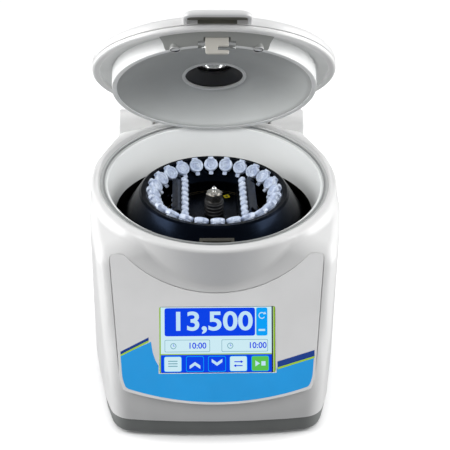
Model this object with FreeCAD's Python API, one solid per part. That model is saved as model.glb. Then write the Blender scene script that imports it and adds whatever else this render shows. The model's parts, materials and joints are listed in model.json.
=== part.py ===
"""Bench-top laboratory centrifuge for 24 micro tubes and two 8-tube strips, lid open.

Units are millimetres. The model is drawn about the rotor axis (x = y = 0) with z = 0
at the bench. X is to the right, Y to the back, Z up. On export everything moves by
ORIGIN_SHIFT_Y, so that the origin lies under the middle of the object's box.
"""
import FreeCAD, Part
import math
import os
from FreeCAD import Matrix, Rotation, Vector

# ---------------------------------------------------------------- driving dimensions
ORIGIN_SHIFT_Y = 11.0        # rotor axis behind the middle of the footprint

# housing
HALF_WIDTH = 114.0           # widest half width of the housing
FRONT_Y = -162.0
REAR_Y = 140.0
REAR_HALF_WIDTH = 92.0
WALL = 3.0
FOOT_HEIGHT = 3.0
PLINTH_TOP = 19.0
SEAM_GAP = 0.3
FRONT_TILT = 30.0            # control panel, degrees away from vertical
PANEL_TOP_Y = -115.0         # point where the panel meets the drum
PANEL_TOP_Z = 123.0

# chamber mouth
RIM_TILT = 5.0               # degrees, the front is lower
RIM_Z = 173.5                # rim plane on the rotor axis
DRUM_R = 113.5
LEDGE_R = 105.4
MOUTH_R = 98.2
LEDGE_DROP = 3.0
SHELF_DROP = 3.5             # housing top below the rim plane, at the drum
SHELF_FALL = 0.35            # further fall per millimetre away from the drum
BOWL_R = 91.8
BOWL_TOP_Z = 141.0
BOWL_FLOOR_Z = 90.0
BOWL_SHEET = 1.5

# rotor
RING_Z = 159.0               # plane of the tube caps' centres
TUBE_COUNT = 24
TUBE_RING_R = 55.0
TUBE_R = 5.4
TUBE_LENGTH = 38.5
CAP_R = 6.6
CAP_PHASE = 1.8              # degrees from +X to the first tube
STRIP_PITCH = 9.0
STRIP_TUBES = 8
STRIP_X = 27.0
ROTOR_R = 87.0
SHAFT_R = 4.0
LABEL_X = 13.0
LABEL_Y = 32.0

# lid
LID_OPEN = 47.6              # degrees from closed to the open rest pose
HINGE_Y = 115.0
HINGE_Z = 175.0
PIN_R = 3.0
LID_GAP = 0.8                # lid lip above the rim when closed
LID_R = 111.0
LIP_INNER_R = 104.0
LID_SEAM_H = 5.0
DOME_H = 22.0
RING_WALL_R = 93.0
RING_END_Z = RING_Z          # end face of the lid's ring wall when closed
WELL_X = 35.0                # screw wells either side of the hook
WELL_Y = -86.4
BRACKET_HALF = 46.0          # half width of the hinge bracket's arms
SIGHT_HOLE_R = 27.0
BOWL_JOINT_R = 58.0          # joint between the bowl's inner and outer rings
BOWL_EDGE_R = 88.5           # joint between the bowl and the ring wall
PART_LINE = 0.1              # hairline between parts made separately
WINDOW_R = 12.5
EAR_INNER_X = 58.0
GRIP_W = 57.0
GRIP_REACH = 17.5            # handle beyond the lid's edge
GRIP_THICK = 6.2
GRIP_Z = 4.8                 # underside of the handle above the rim plane
GRIP_WEB = 2.2               # skin above the finger recess in the handle
BAY_WALL_Z = 172.0           # top of the wall behind the hinge bracket

# latch
HOOK_WIDTH = 19.6
HOOK_LENGTH = 9.5
NOTCH_LOW_Z = RING_Z - 6.2   # notch of the hook, closed
NOTCH_TOP_Z = RING_Z - 2.4
HOOK_Y = -95.8
HOOK_SHEET = 2.5
LATCH_TOP_Z = RING_Z + 2.0
LATCH_BOTTOM_Z = RING_Z - 17.0
LATCH_HALF = 15.0            # half width of the latch block
BOLT_LOW_Z = RING_Z - 5.6
BOLT_TOP_Z = RING_Z - 3.2

# display
WINDOW_W = 100.0
WINDOW_H = 57.0
WINDOW_S = -41.0             # window centre down the slope from the panel's top

# drive and rear panel
MOUNTS = (-50, 50)           # places of the motor's rubber mounts along X and Y
PLATE_Z = 78.0               # motor plate
DAMPER_Z = 62.0
FAN_X = 40.0
FAN_Z = 68.0
SWITCH_Z = 54.5
ROCKER_TILT = 8.0            # degrees, mains switch either side of its middle
FOOT_X = 72.0

ORIGIN = Vector(0, 0, 0)
FAN_CENTRE = Vector(FAN_X, 0, FAN_Z)
X_AXIS = Vector(1, 0, 0)
Y_AXIS = Vector(0, 1, 0)
Z_AXIS = Vector(0, 0, 1)


# ---------------------------------------------------------------- helpers
def box(x0, x1, y0, y1, z0, z1):
    """Box between two corners."""
    return Part.makeBox(x1 - x0, y1 - y0, z1 - z0, Vector(x0, y0, z0))


def disc(radius, z0, z1, x=0.0, y=0.0):
    """Upright cylinder between two heights."""
    return Part.makeCylinder(radius, z1 - z0, Vector(x, y, z0))


def tube(outer, inner, z0, z1, x=0.0, y=0.0):
    """Upright tube between two heights."""
    return disc(outer, z0, z1, x, y).cut(disc(inner, z0 - 1, z1 + 1, x, y))


def rod(radius, start, end):
    """Cylinder from one point to another."""
    start, end = Vector(*start), Vector(*end)
    return Part.makeCylinder(radius, (end - start).Length, start, end - start)


def turned(points):
    """Solid turned about the Z axis from a closed outline of (radius, z) points."""
    outline = [Vector(r, 0, z) for r, z in points]
    outline.append(outline[0])
    return Part.Face(Part.makePolygon(outline)).revolve(ORIGIN, Z_AXIS, 360)


def side_prism(points, x0, x1):
    """Prism along X from an outline of (y, z) points."""
    outline = [Vector(x0, y, z) for y, z in points]
    outline.append(outline[0])
    return Part.Face(Part.makePolygon(outline)).extrude(Vector(x1 - x0, 0, 0))


def front_prism(points, y0, y1):
    """Prism along Y from an outline of (x, z) points."""
    outline = [Vector(x, y0, z) for x, z in points]
    outline.append(outline[0])
    return Part.Face(Part.makePolygon(outline)).extrude(Vector(0, y1 - y0, 0))


def rounded_plate(width, height, thickness, corner, x=0.0, y=0.0, z=0.0):
    """Plate with rounded corners, its middle at (x, y), its underside at z."""
    plate = box(x - width / 2, x + width / 2, y - height / 2, y + height / 2, z, z + thickness)
    return plate.makeFillet(corner, [e for e in plate.Edges if is_upright(e)])


def is_upright(edge):
    """True for a straight edge along Z."""
    first, last = edge.Vertexes[0].Point, edge.Vertexes[-1].Point
    return abs(first.x - last.x) < 1e-6 and abs(first.y - last.y) < 1e-6


def join(shapes):
    """One solid from touching shapes."""
    return shapes[0].fuse(shapes[1:]).removeSplitter()


def apart(shapes):
    """A group of separate solids."""
    return Part.makeCompound(shapes)


def mirrored(shape):
    """The shape and its mirror image across the X = 0 plane."""
    return [shape, shape.mirror(ORIGIN, X_AXIS)]


def moved(shape, x=0.0, y=0.0, z=0.0):
    """A moved copy."""
    copy = shape.copy()
    copy.translate(Vector(x, y, z))
    return copy


def spun(shape, centre, axis, angle):
    """A turned copy."""
    copy = shape.copy()
    copy.rotate(centre, axis, angle)
    return copy


def on_rim(shape):
    """Carry a shape drawn about z = 0 into the tilted rim plane."""
    tilted = spun(shape, ORIGIN, X_AXIS, RIM_TILT)
    tilted.translate(Vector(0, 0, RIM_Z))
    return tilted


def on_slope(shape):
    """Carry a shape drawn as (x, up the slope, outwards) onto the control panel."""
    sloped = spun(shape, ORIGIN, X_AXIS, 90 - FRONT_TILT)
    sloped.translate(Vector(0, PANEL_TOP_Y, PANEL_TOP_Z))
    return sloped


def opened(shape):
    """Swing a lid piece drawn closed into the open rest pose."""
    return spun(shape, Vector(0, HINGE_Y, HINGE_Z), X_AXIS, -LID_OPEN)


def export(node, shape):
    """Write one node, moved into the object's frame."""
    moved(shape, y=ORIGIN_SHIFT_Y).exportStep("parts/%s.step" % node)


# ---------------------------------------------------------------- housing
def plan_prism(inset, z0, z1):
    """The housing's plan outline as an upright prism."""
    front = FRONT_Y + inset
    rear = REAR_Y - inset
    wide = HALF_WIDTH - inset
    slim = REAR_HALF_WIDTH - inset
    corner = Vector(90 - inset, FRONT_Y + 6 + inset, z0)
    cheek = Vector(104.5 - inset, -96, z0)
    points = [Vector(wide, -30, z0), Vector(wide, 38, z0), Vector(slim + 3, 98, z0), Vector(slim, rear, z0)]
    right = [Part.Arc(corner, cheek, points[0]).toShape()]
    right += [Part.makeLine(a, b) for a, b in zip(points, points[1:])]
    left = [edge.mirror(ORIGIN, X_AXIS) for edge in right]
    nose = Part.Arc(corner, Vector(0, front, z0), Vector(-corner.x, corner.y, z0)).toShape()
    tail = Part.makeLine(points[-1], Vector(-points[-1].x, points[-1].y, z0))
    wire = Part.Wire(Part.__sortEdges__(right + left + [nose, tail]))
    prism = Part.Face(wire).extrude(Vector(0, 0, z1 - z0))
    prism = soften(prism, 24 - inset, near_plan(corner))
    prism = soften(prism, 60, near_plan(points[1]))
    prism = soften(prism, 30, near_plan(points[2]))
    return soften(prism, 14 - inset, near_plan(points[3]))


def near_plan(point):
    """Test for upright edges at a plan point or its mirror image."""
    def test(edge):
        end = edge.Vertexes[0].Point
        close = abs(abs(end.x) - abs(point.x)) < 0.01 and abs(end.y - point.y) < 0.01
        return close and is_upright(edge)
    return test


def soften(shape, radius, test):
    """Round the edges that pass a test."""
    return shape.makeFillet(radius, [edge for edge in shape.Edges if test(edge)])


def above_slope(offset):
    """Everything in front of the control panel's plane, moved inwards by offset."""
    return on_slope(box(-200, 200, -260, 260, -offset, 300))


def above_rim_plane(drop):
    """Everything higher than the rim plane lowered by drop."""
    return on_rim(box(-200, 200, -260, 260, -drop, 120))


def above_shelf(drop):
    """Everything higher than the housing's conical top lowered by drop."""
    def fall(radius):
        return -SHELF_DROP - drop - SHELF_FALL * (radius - DRUM_R)
    inner = DRUM_R - 6
    return on_rim(turned([(0, fall(inner)), (inner, fall(inner)), (260, fall(260)), (260, 120), (0, 120)]))


def housing_form(inset):
    """The closed form of the upper housing; a larger inset gives its hollow."""
    body = plan_prism(inset, PLINTH_TOP + SEAM_GAP, 200)
    body = body.cut(above_slope(inset)).cut(above_shelf(inset))
    drum = disc(DRUM_R - inset, PANEL_TOP_Z - 20, 200).cut(above_rim_plane(inset))
    return join([body, drum])


def ear_profile(inset):
    """Side outline of the hinge housing behind the chamber."""
    reach = 15 - inset
    arc = [(HINGE_Y - reach * math.cos(t), HINGE_Z + reach * math.sin(t))
           for t in [math.radians(15 * k) for k in range(7)]]
    return arc + [(REAR_Y - 12, 186 - inset), (REAR_Y - inset, 174), (REAR_Y - inset, 150), (arc[0][0], 150)]


def main_housing():
    """White moulded upper housing with the drum, the rim and the hinge ears."""
    shell = soften(housing_form(0), 3.0, is_rim_edge)
    shell = soften(shell, 8.0, is_slope_side_edge)
    ears = mirrored(side_prism(ear_profile(0), EAR_INNER_X, REAR_HALF_WIDTH + 1))
    shell = join([shell] + ears)
    hollow = housing_form(WALL).fuse(box(-88, 88, HINGE_Y - 12, REAR_Y - WALL, 100, 152))
    shell = shell.cut(hollow)
    shell = shell.cut(hinge_bay()).cut(box(-EAR_INNER_X, EAR_INNER_X, 130, REAR_Y + 1, BAY_WALL_Z, 200))
    shell = shell.cut(disc(LEDGE_R, 60, 220))
    bores = mirrored(rod(7.05, (EAR_INNER_X - 1, HINGE_Y, HINGE_Z), (EAR_INNER_X + 25, HINGE_Y, HINGE_Z)))
    shell = shell.cut(apart(bores))
    shell = shell.cut(on_slope(panel_outline(0.7, -1.6, 5)))
    shell = shell.cut(on_slope(rounded_plate(WINDOW_W + 7, WINDOW_H + 6, 8, 3, y=WINDOW_S, z=-6)))
    return shell.cut(box(-79, 79, REAR_Y - 8, REAR_Y + 2, 25, 111))


def is_rim_edge(edge):
    """True for the drum's outer top edge."""
    box_ = edge.BoundBox
    return box_.ZMin > 162 and box_.XLength > 200 and box_.YLength > 100


def is_slope_side_edge(edge):
    """True for the long edges between the sloping front and the sides."""
    bound = edge.BoundBox
    on_side = bound.XMin > 70 or bound.XMax < -70
    return on_side and bound.YMax < -60 and bound.ZLength > 60 and bound.YLength > 30


def hinge_bay():
    """Space behind the drum in which the lid's hinge bracket swings."""
    return box(-EAR_INNER_X, EAR_INNER_X, 104, REAR_Y - WALL, 158, 200)


def hinge_bay_floor():
    """Moulded tray that closes the hinge bay below the bracket."""
    tray = box(-EAR_INNER_X + 0.3, EAR_INNER_X - 0.3, HINGE_Y - 8, REAR_Y - WALL - 0.3, 153, 155)
    return tray.cut(disc(DRUM_R, 100, 200))


def base_plinth():
    """Dark grey base tray with cooling slots in its floor."""
    tray = plan_prism(1.5, FOOT_HEIGHT, PLINTH_TOP).cut(plan_prism(5.5, FOOT_HEIGHT + WALL, PLINTH_TOP + 1))
    for k in range(-4, 5):
        tray = tray.cut(box(9 * k - 2, 9 * k + 2, 60, 100, 0, 10))
    return tray


def feet():
    """Four round rubber feet."""
    foot = turned([(3, 0), (10, 0), (12, FOOT_HEIGHT), (3, FOOT_HEIGHT)])
    return apart([moved(foot, x, y) for x in (-FOOT_X, FOOT_X) for y in (-118, 112)])


# ---------------------------------------------------------------- control panel
def panel_outline(margin, n0, n1):
    """Control panel plate: arched top edge under the drum, tapering sides."""
    top, low = 33 + margin, -74
    half_top, half_low = 92.5 + margin, 84.0 + margin
    edges = [
        Part.Arc(Vector(-half_top + 12, top, 0), Vector(0, margin - 1, 0), Vector(half_top - 12, top, 0)),
        Part.LineSegment(Vector(half_top - 12, top, 0), Vector(half_top, top, 0)),
        Part.LineSegment(Vector(half_top, top, 0), Vector(half_low, low, 0)),
        Part.LineSegment(Vector(half_low, low, 0), Vector(half_low - 3, -84 - margin, 0)),
        Part.Arc(Vector(half_low - 3, -84 - margin, 0), Vector(0, -97 - margin, 0),
                 Vector(-half_low + 3, -84 - margin, 0)),
        Part.LineSegment(Vector(-half_low + 3, -84 - margin, 0), Vector(-half_low, low, 0)),
        Part.LineSegment(Vector(-half_low, low, 0), Vector(-half_top, top, 0)),
        Part.LineSegment(Vector(-half_top, top, 0), Vector(-half_top + 12, top, 0)),
    ]
    plate = Part.Face(Part.Wire([edge.toShape() for edge in edges])).extrude(Vector(0, 0, n1 - n0))
    plate = soften(plate, 8, near_plan(Vector(half_top, top, 0)))
    plate = soften(plate, 7, near_plan(Vector(half_low - 3, -84 - margin, 0)))
    return moved(plate, z=n0)


def front_panel():
    """Smooth control panel with the display window."""
    window = rounded_plate(WINDOW_W, WINDOW_H, 4, 1.5, y=WINDOW_S, z=-3)
    return on_slope(panel_outline(0, -1.5, 0).cut(window))


def touch_glass():
    """Touch screen glass behind the window."""
    return on_slope(rounded_plate(WINDOW_W + 6, WINDOW_H + 5, 1.3, 2, y=WINDOW_S, z=-2.9))


def display_module():
    """Liquid crystal module with its metal rim."""
    return on_slope(rounded_plate(WINDOW_W + 8, WINDOW_H + 9, 5.5, 1, y=WINDOW_S, z=-8.6))


def control_board():
    """Control circuit board with its processor, relay and connectors."""
    parts = [box(-60, 60, WINDOW_S - 34, WINDOW_S + 30, -13.6, -12)]
    parts += [box(x, x + 14, WINDOW_S + 5, WINDOW_S + 17, -17, -13.6) for x in (-45, -10, 25)]
    parts += [box(x, x + 20, WINDOW_S - 30, WINDOW_S - 22, -22, -13.6) for x in (-50, -15, 20)]
    return on_slope(join(parts))


def board_pillars():
    """Four pillars between the display module and the control board."""
    pillars = [disc(2.5, -12, -8.6, x, WINDOW_S + y) for x in (-50, 50) for y in (-30, 26)]
    return on_slope(apart(pillars))


# ---------------------------------------------------------------- chamber
def taper_ring(outer_low, inner_low, z_low, outer_top, inner_top, drop):
    """Ring between a level circle and a circle in the tilted rim plane."""
    def loft(low, top):
        circle_low = Part.Wire(Part.makeCircle(low, Vector(0, 0, z_low)))
        circle_top = Part.Wire(Part.makeCircle(top, Vector(0, 0, -drop)))
        return Part.makeLoft([circle_low, on_rim(circle_top)], True, True)
    outer, inner = loft(outer_low, outer_top), loft(inner_low, inner_top)
    return outer.cut(inner)


def chamber_collar():
    """White upper chamber wall with the sloping ledge inside the rim."""
    wall = taper_ring(BOWL_R + 3, BOWL_R, BOWL_TOP_Z, MOUTH_R + 2, MOUTH_R, LEDGE_DROP)
    ledge = turned([(MOUTH_R, -LEDGE_DROP), (LEDGE_R - 0.3, -0.6), (LEDGE_R - 0.3, -4),
                    (MOUTH_R + 1, -LEDGE_DROP - 3)])
    collar = join([wall, on_rim(ledge)])
    hook_way = box(-13, 13, HOOK_Y - 3, -88, RING_Z - 1.5, RING_Z + 8)
    under_block = box(-LATCH_HALF - 1, 37, -104, -86, BOWL_TOP_Z - 1, LATCH_BOTTOM_Z)
    collar = collar.cut(latch_block(0.4)).cut(under_block).cut(hook_way).cut(lid_seal())
    joints = [box(x - PART_LINE / 2, x + PART_LINE / 2, -120, -80, 100, 200) for x in (-13, 13)]
    return collar.cut(apart(joints))


def lid_seal():
    """Rubber sealing cord in the ledge."""
    return on_rim(Part.makeTorus(LEDGE_R - 3.4, 0.9, Vector(0, 0, -1.2)))


def chamber_bowl():
    """Pressed steel chamber bowl under the collar."""
    inner = [(15, BOWL_FLOOR_Z), (80, BOWL_FLOOR_Z), (88.5, 96), (90.6, 106), (BOWL_R, BOWL_TOP_Z)]
    flange_z, under_z = BOWL_TOP_Z - BOWL_SHEET, BOWL_FLOOR_Z - BOWL_SHEET
    outer = [(96.5, BOWL_TOP_Z), (96.5, flange_z), (BOWL_R + BOWL_SHEET, flange_z),
             (90.6 + BOWL_SHEET, 105.6), (89.5, 95), (80.6, under_z), (15, under_z)]
    return turned(inner + outer)


def guard_ring():
    """Steel ring that stops fragments if a rotor fails."""
    return tube(100.0, 97.5, 92, BOWL_TOP_Z - 2)


def shaft_seal():
    """Rubber boot between the bowl's floor and the motor."""
    return turned([(6, 84), (14.8, 84), (14.8, 91.5), (12, 93), (6, 93)])


# ---------------------------------------------------------------- drive
def motor_housing():
    """Brushless induction motor with its end bells."""
    can = turned([(4.6, 26), (30, 26), (42, 31), (42, 73), (36, 78), (4.6, 78)])
    can = can.cut(disc(11.0, 70, 80)).cut(disc(11.0, 20, 34))
    for k in range(12):
        can = can.cut(spun(box(40, 45, -2, 2, 38, 66), ORIGIN, Z_AXIS, 30 * k))
    return can


def motor_bearings():
    """Two ball bearings."""
    return apart([tube(11.0, SHAFT_R + 0.05, z, z + 7) for z in (71, 27)])


def motor_shaft():
    """Shaft from the lower bearing up to the rotor's clamp."""
    return disc(SHAFT_R, 25, 149.5)


def mount_plate():
    """Steel plate that carries the motor."""
    plate = rounded_plate(128, 128, 3, 12, z=PLATE_Z)
    return plate.cut(disc(14, 70, 90))


def motor_dampers():
    """Rubber mounts under the plate's corners."""
    return apart([disc(10, DAMPER_Z, PLATE_Z, x, y) for x in MOUNTS for y in MOUNTS])


def motor_posts():
    """Steel posts from the base tray to the rubber mounts."""
    return apart([disc(7, FOOT_HEIGHT + WALL, DAMPER_Z, x, y) for x in MOUNTS for y in MOUNTS])


# ---------------------------------------------------------------- rotor
def tube_form(grow):
    """Micro tube body with its conical tip, hanging down from z = 0."""
    tip = -TUBE_LENGTH - grow
    return turned([(0, 0), (TUBE_R + grow, 0), (TUBE_R + grow, -20), (2.0 + grow, tip), (0, tip)])


def at_tube(shape, k):
    """Place a tube drawn upright into pocket k of the rotor's ring."""
    placed = spun(shape, ORIGIN, Y_AXIS, -45)
    placed.translate(Vector(TUBE_RING_R, 0, RING_Z))
    return spun(placed, ORIGIN, Z_AXIS, CAP_PHASE + k * 360 / TUBE_COUNT)


def strip_places():
    """(x, y, tilt) of the strip tubes, tips leaning outwards."""
    first = -STRIP_PITCH * (STRIP_TUBES - 1) / 2
    return [(side * STRIP_X, first + STRIP_PITCH * k, -45 * side)
            for side in (-1, 1) for k in range(STRIP_TUBES)]


def at_strip(shape, place):
    """Place a strip tube drawn upright."""
    x, y, tilt = place
    placed = spun(shape, ORIGIN, Y_AXIS, tilt)
    placed.translate(Vector(x, y, RING_Z - 5))
    return placed


def rotor_body():
    """Black anodised fixed-angle rotor with 24 tube pockets and two strip blocks."""
    z = RING_Z
    body = turned([
        (SHAFT_R + 0.02, z - 23), (46, z - 23), (47.5, z - 14.5), (64, z + 2), (68, z + 2.5), (70, z + 1),
        (74, z - 5), (ROTOR_R, z - 25), (ROTOR_R, z - 41), (84, z - 44), (78, z - 44), (70, z - 34),
        (54, z - 29), (16, z - 29), (14, z - 48), (SHAFT_R + 0.02, z - 48)])
    block = front_prism([(22.5, z - 24), (22.5, z - 12.5), (34, z - 1), (39, z - 4), (39, z - 24)], -38, 38)
    body = join([body] + mirrored(block))
    cap_room = [disc(CAP_R + 0.5, -4.8, 8), box(-CAP_R - 3.2, 0, -2.8, 2.8, -3.0, 8)]
    pocket = join([tube_form(0.2)] + cap_room)
    pockets = [at_tube(pocket, k) for k in range(TUBE_COUNT)]
    pockets += [at_strip(strip_tube(0.15), place) for place in strip_places()]
    return body.cut(pockets)


def strip_tube(grow):
    """One small tube of a strip, hanging down from z = 0."""
    return turned([(0, 0), (3.1 + grow, 0), (3.1 + grow, -8), (1.4 + grow, -18 - grow), (0, -18 - grow)])


def micro_tube():
    """Closed micro tube: body, collar, flat cap, thumb tab and strap hinge."""
    body = tube_form(0)
    collar = disc(CAP_R - 0.3, -4.4, -2.6)
    cap = disc(CAP_R, -2.6, 1.4).cut(disc(CAP_R - 1.6, 0.4, 2))
    tab = box(-CAP_R - 2.6, -CAP_R + 1.5, -2.2, 2.2, -2.4, -0.6)
    strap = box(CAP_R - 1.2, CAP_R + 1.6, -2.6, 2.6, -4.0, 0.6)
    return join([body, collar, cap, tab, strap])


def sample_tubes():
    """Ring of closed micro tubes."""
    one = micro_tube()
    return apart([at_tube(one, k) for k in range(TUBE_COUNT)])


def tube_strips():
    """Two strips of eight small tubes with domed caps."""
    small = join([strip_tube(0), disc(3.9, -1.4, 2.2)])
    strips = []
    for side in (-1, 1):
        tubes = [at_strip(small, place) for place in strip_places() if place[0] * side > 0]
        web = box(-1.4, 1.4, -STRIP_PITCH * 3.5, STRIP_PITCH * 3.5, -1.0, 1.0)
        web = at_strip(web, (side * STRIP_X, 0, -45 * side))
        strips.append(join(tubes + [web]))
    return apart(strips)


def clamp_post():
    """Ribbed black grip of the rotor clamp."""
    z = RING_Z
    points = [(SHAFT_R + 0.02, z - 23)]
    for k in range(4):
        low = z - 23 + 3.5 * k
        points += [(9.0, low), (9.0, low + 2.1), (7.6, low + 2.5), (7.6, low + 3.1)]
    points += [(9.0, z - 9), (SHAFT_R + 0.02, z - 9)]
    return turned(points)


def clamp_nut():
    """Steel clamp nut with six flats and a driver slot."""
    z = RING_Z
    sides = [Vector(8.4 * math.cos(math.radians(60 * k)), 8.4 * math.sin(math.radians(60 * k)), z - 9)
             for k in range(7)]
    nut = Part.Face(Part.makePolygon(sides)).extrude(Vector(0, 0, 9.5))
    nut = nut.common(turned([(0, z - 9), (8.0, z - 9), (8.0, z - 0.6), (7.0, z + 0.5), (0, z + 0.5)]))
    return nut.cut(disc(2.05, z - 8.9, z + 2)).cut(box(-9, 9, -0.9, 0.9, z - 1.5, z + 2))


def lock_pin():
    """Bright pin with a ball top in the clamp nut."""
    z = RING_Z
    return join([disc(2.0, z - 8.8, z + 2), Part.makeSphere(2.3, Vector(0, 0, z + 2.8))])


def balance_label():
    """Small plain yellow disc label on the rotor's floor."""
    return disc(3.4, RING_Z - 23, RING_Z - 22.7, LABEL_X, LABEL_Y)


# ---------------------------------------------------------------- lid
def lid_turned(points):
    """Turned solid in the closed lid's tilted frame."""
    return moved(on_rim(turned(points)), z=LID_GAP)


def lid_outer_shell():
    """Domed outer cover of the lid, without its liner."""
    outer = dome_points(0, LID_R)
    inner = dome_points(2.5, LID_R - 2.5)
    shell = lid_turned([(0, DOME_H)] + outer + [(LID_R, LID_SEAM_H), (LID_R - 2.5, LID_SEAM_H)] + inner[::-1]
                       + [(0, DOME_H - 2.5)])
    shell = shell.cut(lid_turned([(0, 5), (WINDOW_R + 2.05, 5), (WINDOW_R + 2.05, 40), (0, 40)]))
    return shell.cut(bracket_room())


def dome_points(inset, edge_r):
    """Dome outline from near the centre to the edge wall, as (radius, height)."""
    crown, shoulder = DOME_H - inset, 14.0 - inset
    rim = edge_r - 5
    rise = [(r, shoulder + (crown - shoulder) * (1 - (r / rim) ** 2)) for r in (30, 55, 75, 92, rim)]
    return rise + [(edge_r - 1.4, shoulder - 2.0), (edge_r, shoulder - 5.0)]


def bracket_room():
    """Space in the lid's rear edge for the hinge bracket."""
    half = BRACKET_HALF + 0.3
    return box(-half, half, HINGE_Y - 13, HINGE_Y + 10, HINGE_Z - 12, HINGE_Z + 21.3)


def lid_liner():
    """Light grey underside: lip, recess, ring wall, concave bowl and latch platform."""
    flat = lid_turned([
        (90, 4.2), (LIP_INNER_R, 4.2), (LIP_INNER_R, 0), (LID_R - 3.0, 0), (LID_R, 2.5),
        (LID_R, LID_SEAM_H - 0.6), (LID_R - 2.8, LID_SEAM_H - 0.6), (LID_R - 3.0, 6.2), (90, 6.2)])
    z = RING_END_Z
    bowl_rise = 14.5
    inner = [(r, z + bowl_rise * (1 - ((r - SIGHT_HOLE_R) / (BOWL_EDGE_R - SIGHT_HOLE_R)) ** 2)) for r in
             (SIGHT_HOLE_R, 40, 52, 62, 70, 77, 83, BOWL_EDGE_R)]
    outer = [(RING_WALL_R, z), (RING_WALL_R, z + 22), (89, z + 22), (89, z + 4.5)]
    outer += [(r, height + 2.2) for r, height in inner[-2::-1]]
    bowl = turned([(SIGHT_HOLE_R, inner[0][1] - 1.2)] + inner[1:] + outer)
    bowl = bowl.cut(moved(above_rim_plane(-6.2), z=LID_GAP))
    platform = turned([(92, z), (95, z + 1.2), (97.5, z + 5), (LIP_INNER_R + 0.5, z + 8.2),
                       (LIP_INNER_R + 0.5, z + 12), (92, z + 12)])
    platform = platform.common(box(-48, 48, -120, 0, 100, 200))
    liner = join([flat, bowl, platform])
    hook_slot = box(-11.2, 11.2, HOOK_Y - 2, HOOK_Y + 2, z - 2, z + 40)
    block_room = box(-LATCH_HALF - 0.8, LATCH_HALF + 0.8, -99, -87, z - 2, LATCH_TOP_Z + 1)
    wells = [disc(2.8, z - 5, z + 7, x, WELL_Y) for x in (-WELL_X, WELL_X)]
    rings = [tube(r + PART_LINE, r, z - 5, z + 40) for r in (BOWL_JOINT_R, BOWL_EDGE_R)]
    liner = liner.cut(hook_slot).cut(block_room).cut(apart(wells)).cut(bracket_room())
    return liner.cut(apart(rings))


def liner_screws():
    """Screws at the bottom of the two wells in the liner."""
    heads = [tube(2.6, 1.2, RING_END_Z + 4.2, RING_END_Z + 6.2, x, WELL_Y) for x in (-WELL_X, WELL_X)]
    return apart(heads)


def window_well():
    """Black funnel between the liner's sight hole and the window."""
    z = RING_END_Z
    return turned([(SIGHT_HOLE_R - 0.2, z + 16.8), (SIGHT_HOLE_R + 2.5, z + 16.9),
                   (SIGHT_HOLE_R + 2.5, z + 18.4), (SIGHT_HOLE_R, z + 19.5),
                   (WINDOW_R + 3.7, z + 27), (WINDOW_R + 3.7, z + 24.6)])


def window_bezel():
    """Bright ring that holds the window in the dome."""
    top = DOME_H + 0.4
    return lid_turned([(WINDOW_R, top - 11), (WINDOW_R + 2, top - 11), (WINDOW_R + 2, top - 0.4),
                       (WINDOW_R + 4, top - 0.4), (WINDOW_R + 3.4, top + 0.6), (WINDOW_R, top + 0.6)])


def lid_window():
    """Clear inspection window."""
    edge = WINDOW_R - 0.02
    return lid_turned([(0, DOME_H - 3), (edge, DOME_H - 3), (edge, DOME_H), (0, DOME_H)])


def lid_handle():
    """Arched grip on the lid's front edge, with a finger recess from below."""
    grip = rounded_plate(GRIP_W, 40, GRIP_THICK, 9, y=20 - LID_R - GRIP_REACH, z=GRIP_Z)
    grip = grip.cut(disc(LID_R + 0.05, -5, 30))
    reach = GRIP_REACH - 5.0
    depth = GRIP_THICK - GRIP_WEB
    recess = rounded_plate(GRIP_W - 8, reach, depth + 2, 4.2, y=-LID_R - reach / 2, z=GRIP_Z - 2)
    grip = grip.cut(recess)
    return moved(on_rim(soften(grip, 1.6, is_outer_grip_edge)), z=LID_GAP)


def is_outer_grip_edge(edge):
    """True for the grip's top and bottom edges on its outer side."""
    bound = edge.BoundBox
    return bound.YMax < -(LID_R + GRIP_REACH - 1) and bound.ZLength < 0.01


def latch_hook():
    """Stamped C-shaped hook; its notch opens to the right."""
    z = RING_END_Z
    half = HOOK_WIDTH / 2
    plate = box(-half, half, HOOK_Y - HOOK_SHEET / 2, HOOK_Y + HOOK_SHEET / 2, z - HOOK_LENGTH, z + 17)
    plate = soften(plate, 2.5, is_hook_tip_edge)
    notch = box(0.5, half + 1, HOOK_Y - 5, HOOK_Y + 5, NOTCH_LOW_Z, NOTCH_TOP_Z)
    flange = box(-half, half, HOOK_Y - HOOK_SHEET / 2, HOOK_Y + 11, z + 15, z + 17)
    return join([plate, flange]).cut(notch)


def is_hook_tip_edge(edge):
    """True for the hook's two lower edges across the sheet."""
    bound = edge.BoundBox
    return bound.ZMax < RING_END_Z - HOOK_LENGTH + 0.1 and bound.YLength > 1


def lid_bracket():
    """Hinge barrel and its arms on the lid's rear edge."""
    barrel = rod(9, (-EAR_INNER_X + 1, HINGE_Y, HINGE_Z), (EAR_INNER_X - 1, HINGE_Y, HINGE_Z))
    arms = side_prism([(HINGE_Y - 8.5, HINGE_Z + 2), (HINGE_Y - 8.5, HINGE_Z + 9.5),
                       (HINGE_Y - 12.5, HINGE_Z + 12), (HINGE_Y - 12.5, HINGE_Z + 21),
                       (HINGE_Y - 4, HINGE_Z + 21), (HINGE_Y + 8.5, HINGE_Z + 2)],
                      -BRACKET_HALF, BRACKET_HALF)
    bracket = join([barrel, arms])
    bores = mirrored(rod(PIN_R + 0.05, (34, HINGE_Y, HINGE_Z), (60, HINGE_Y, HINGE_Z)))
    return bracket.cut(apart(bores))


def hinge_pins():
    """Steel hinge pins, left and right."""
    return apart(mirrored(rod(PIN_R, (36, HINGE_Y, HINGE_Z), (EAR_INNER_X + 22, HINGE_Y, HINGE_Z))))


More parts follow.
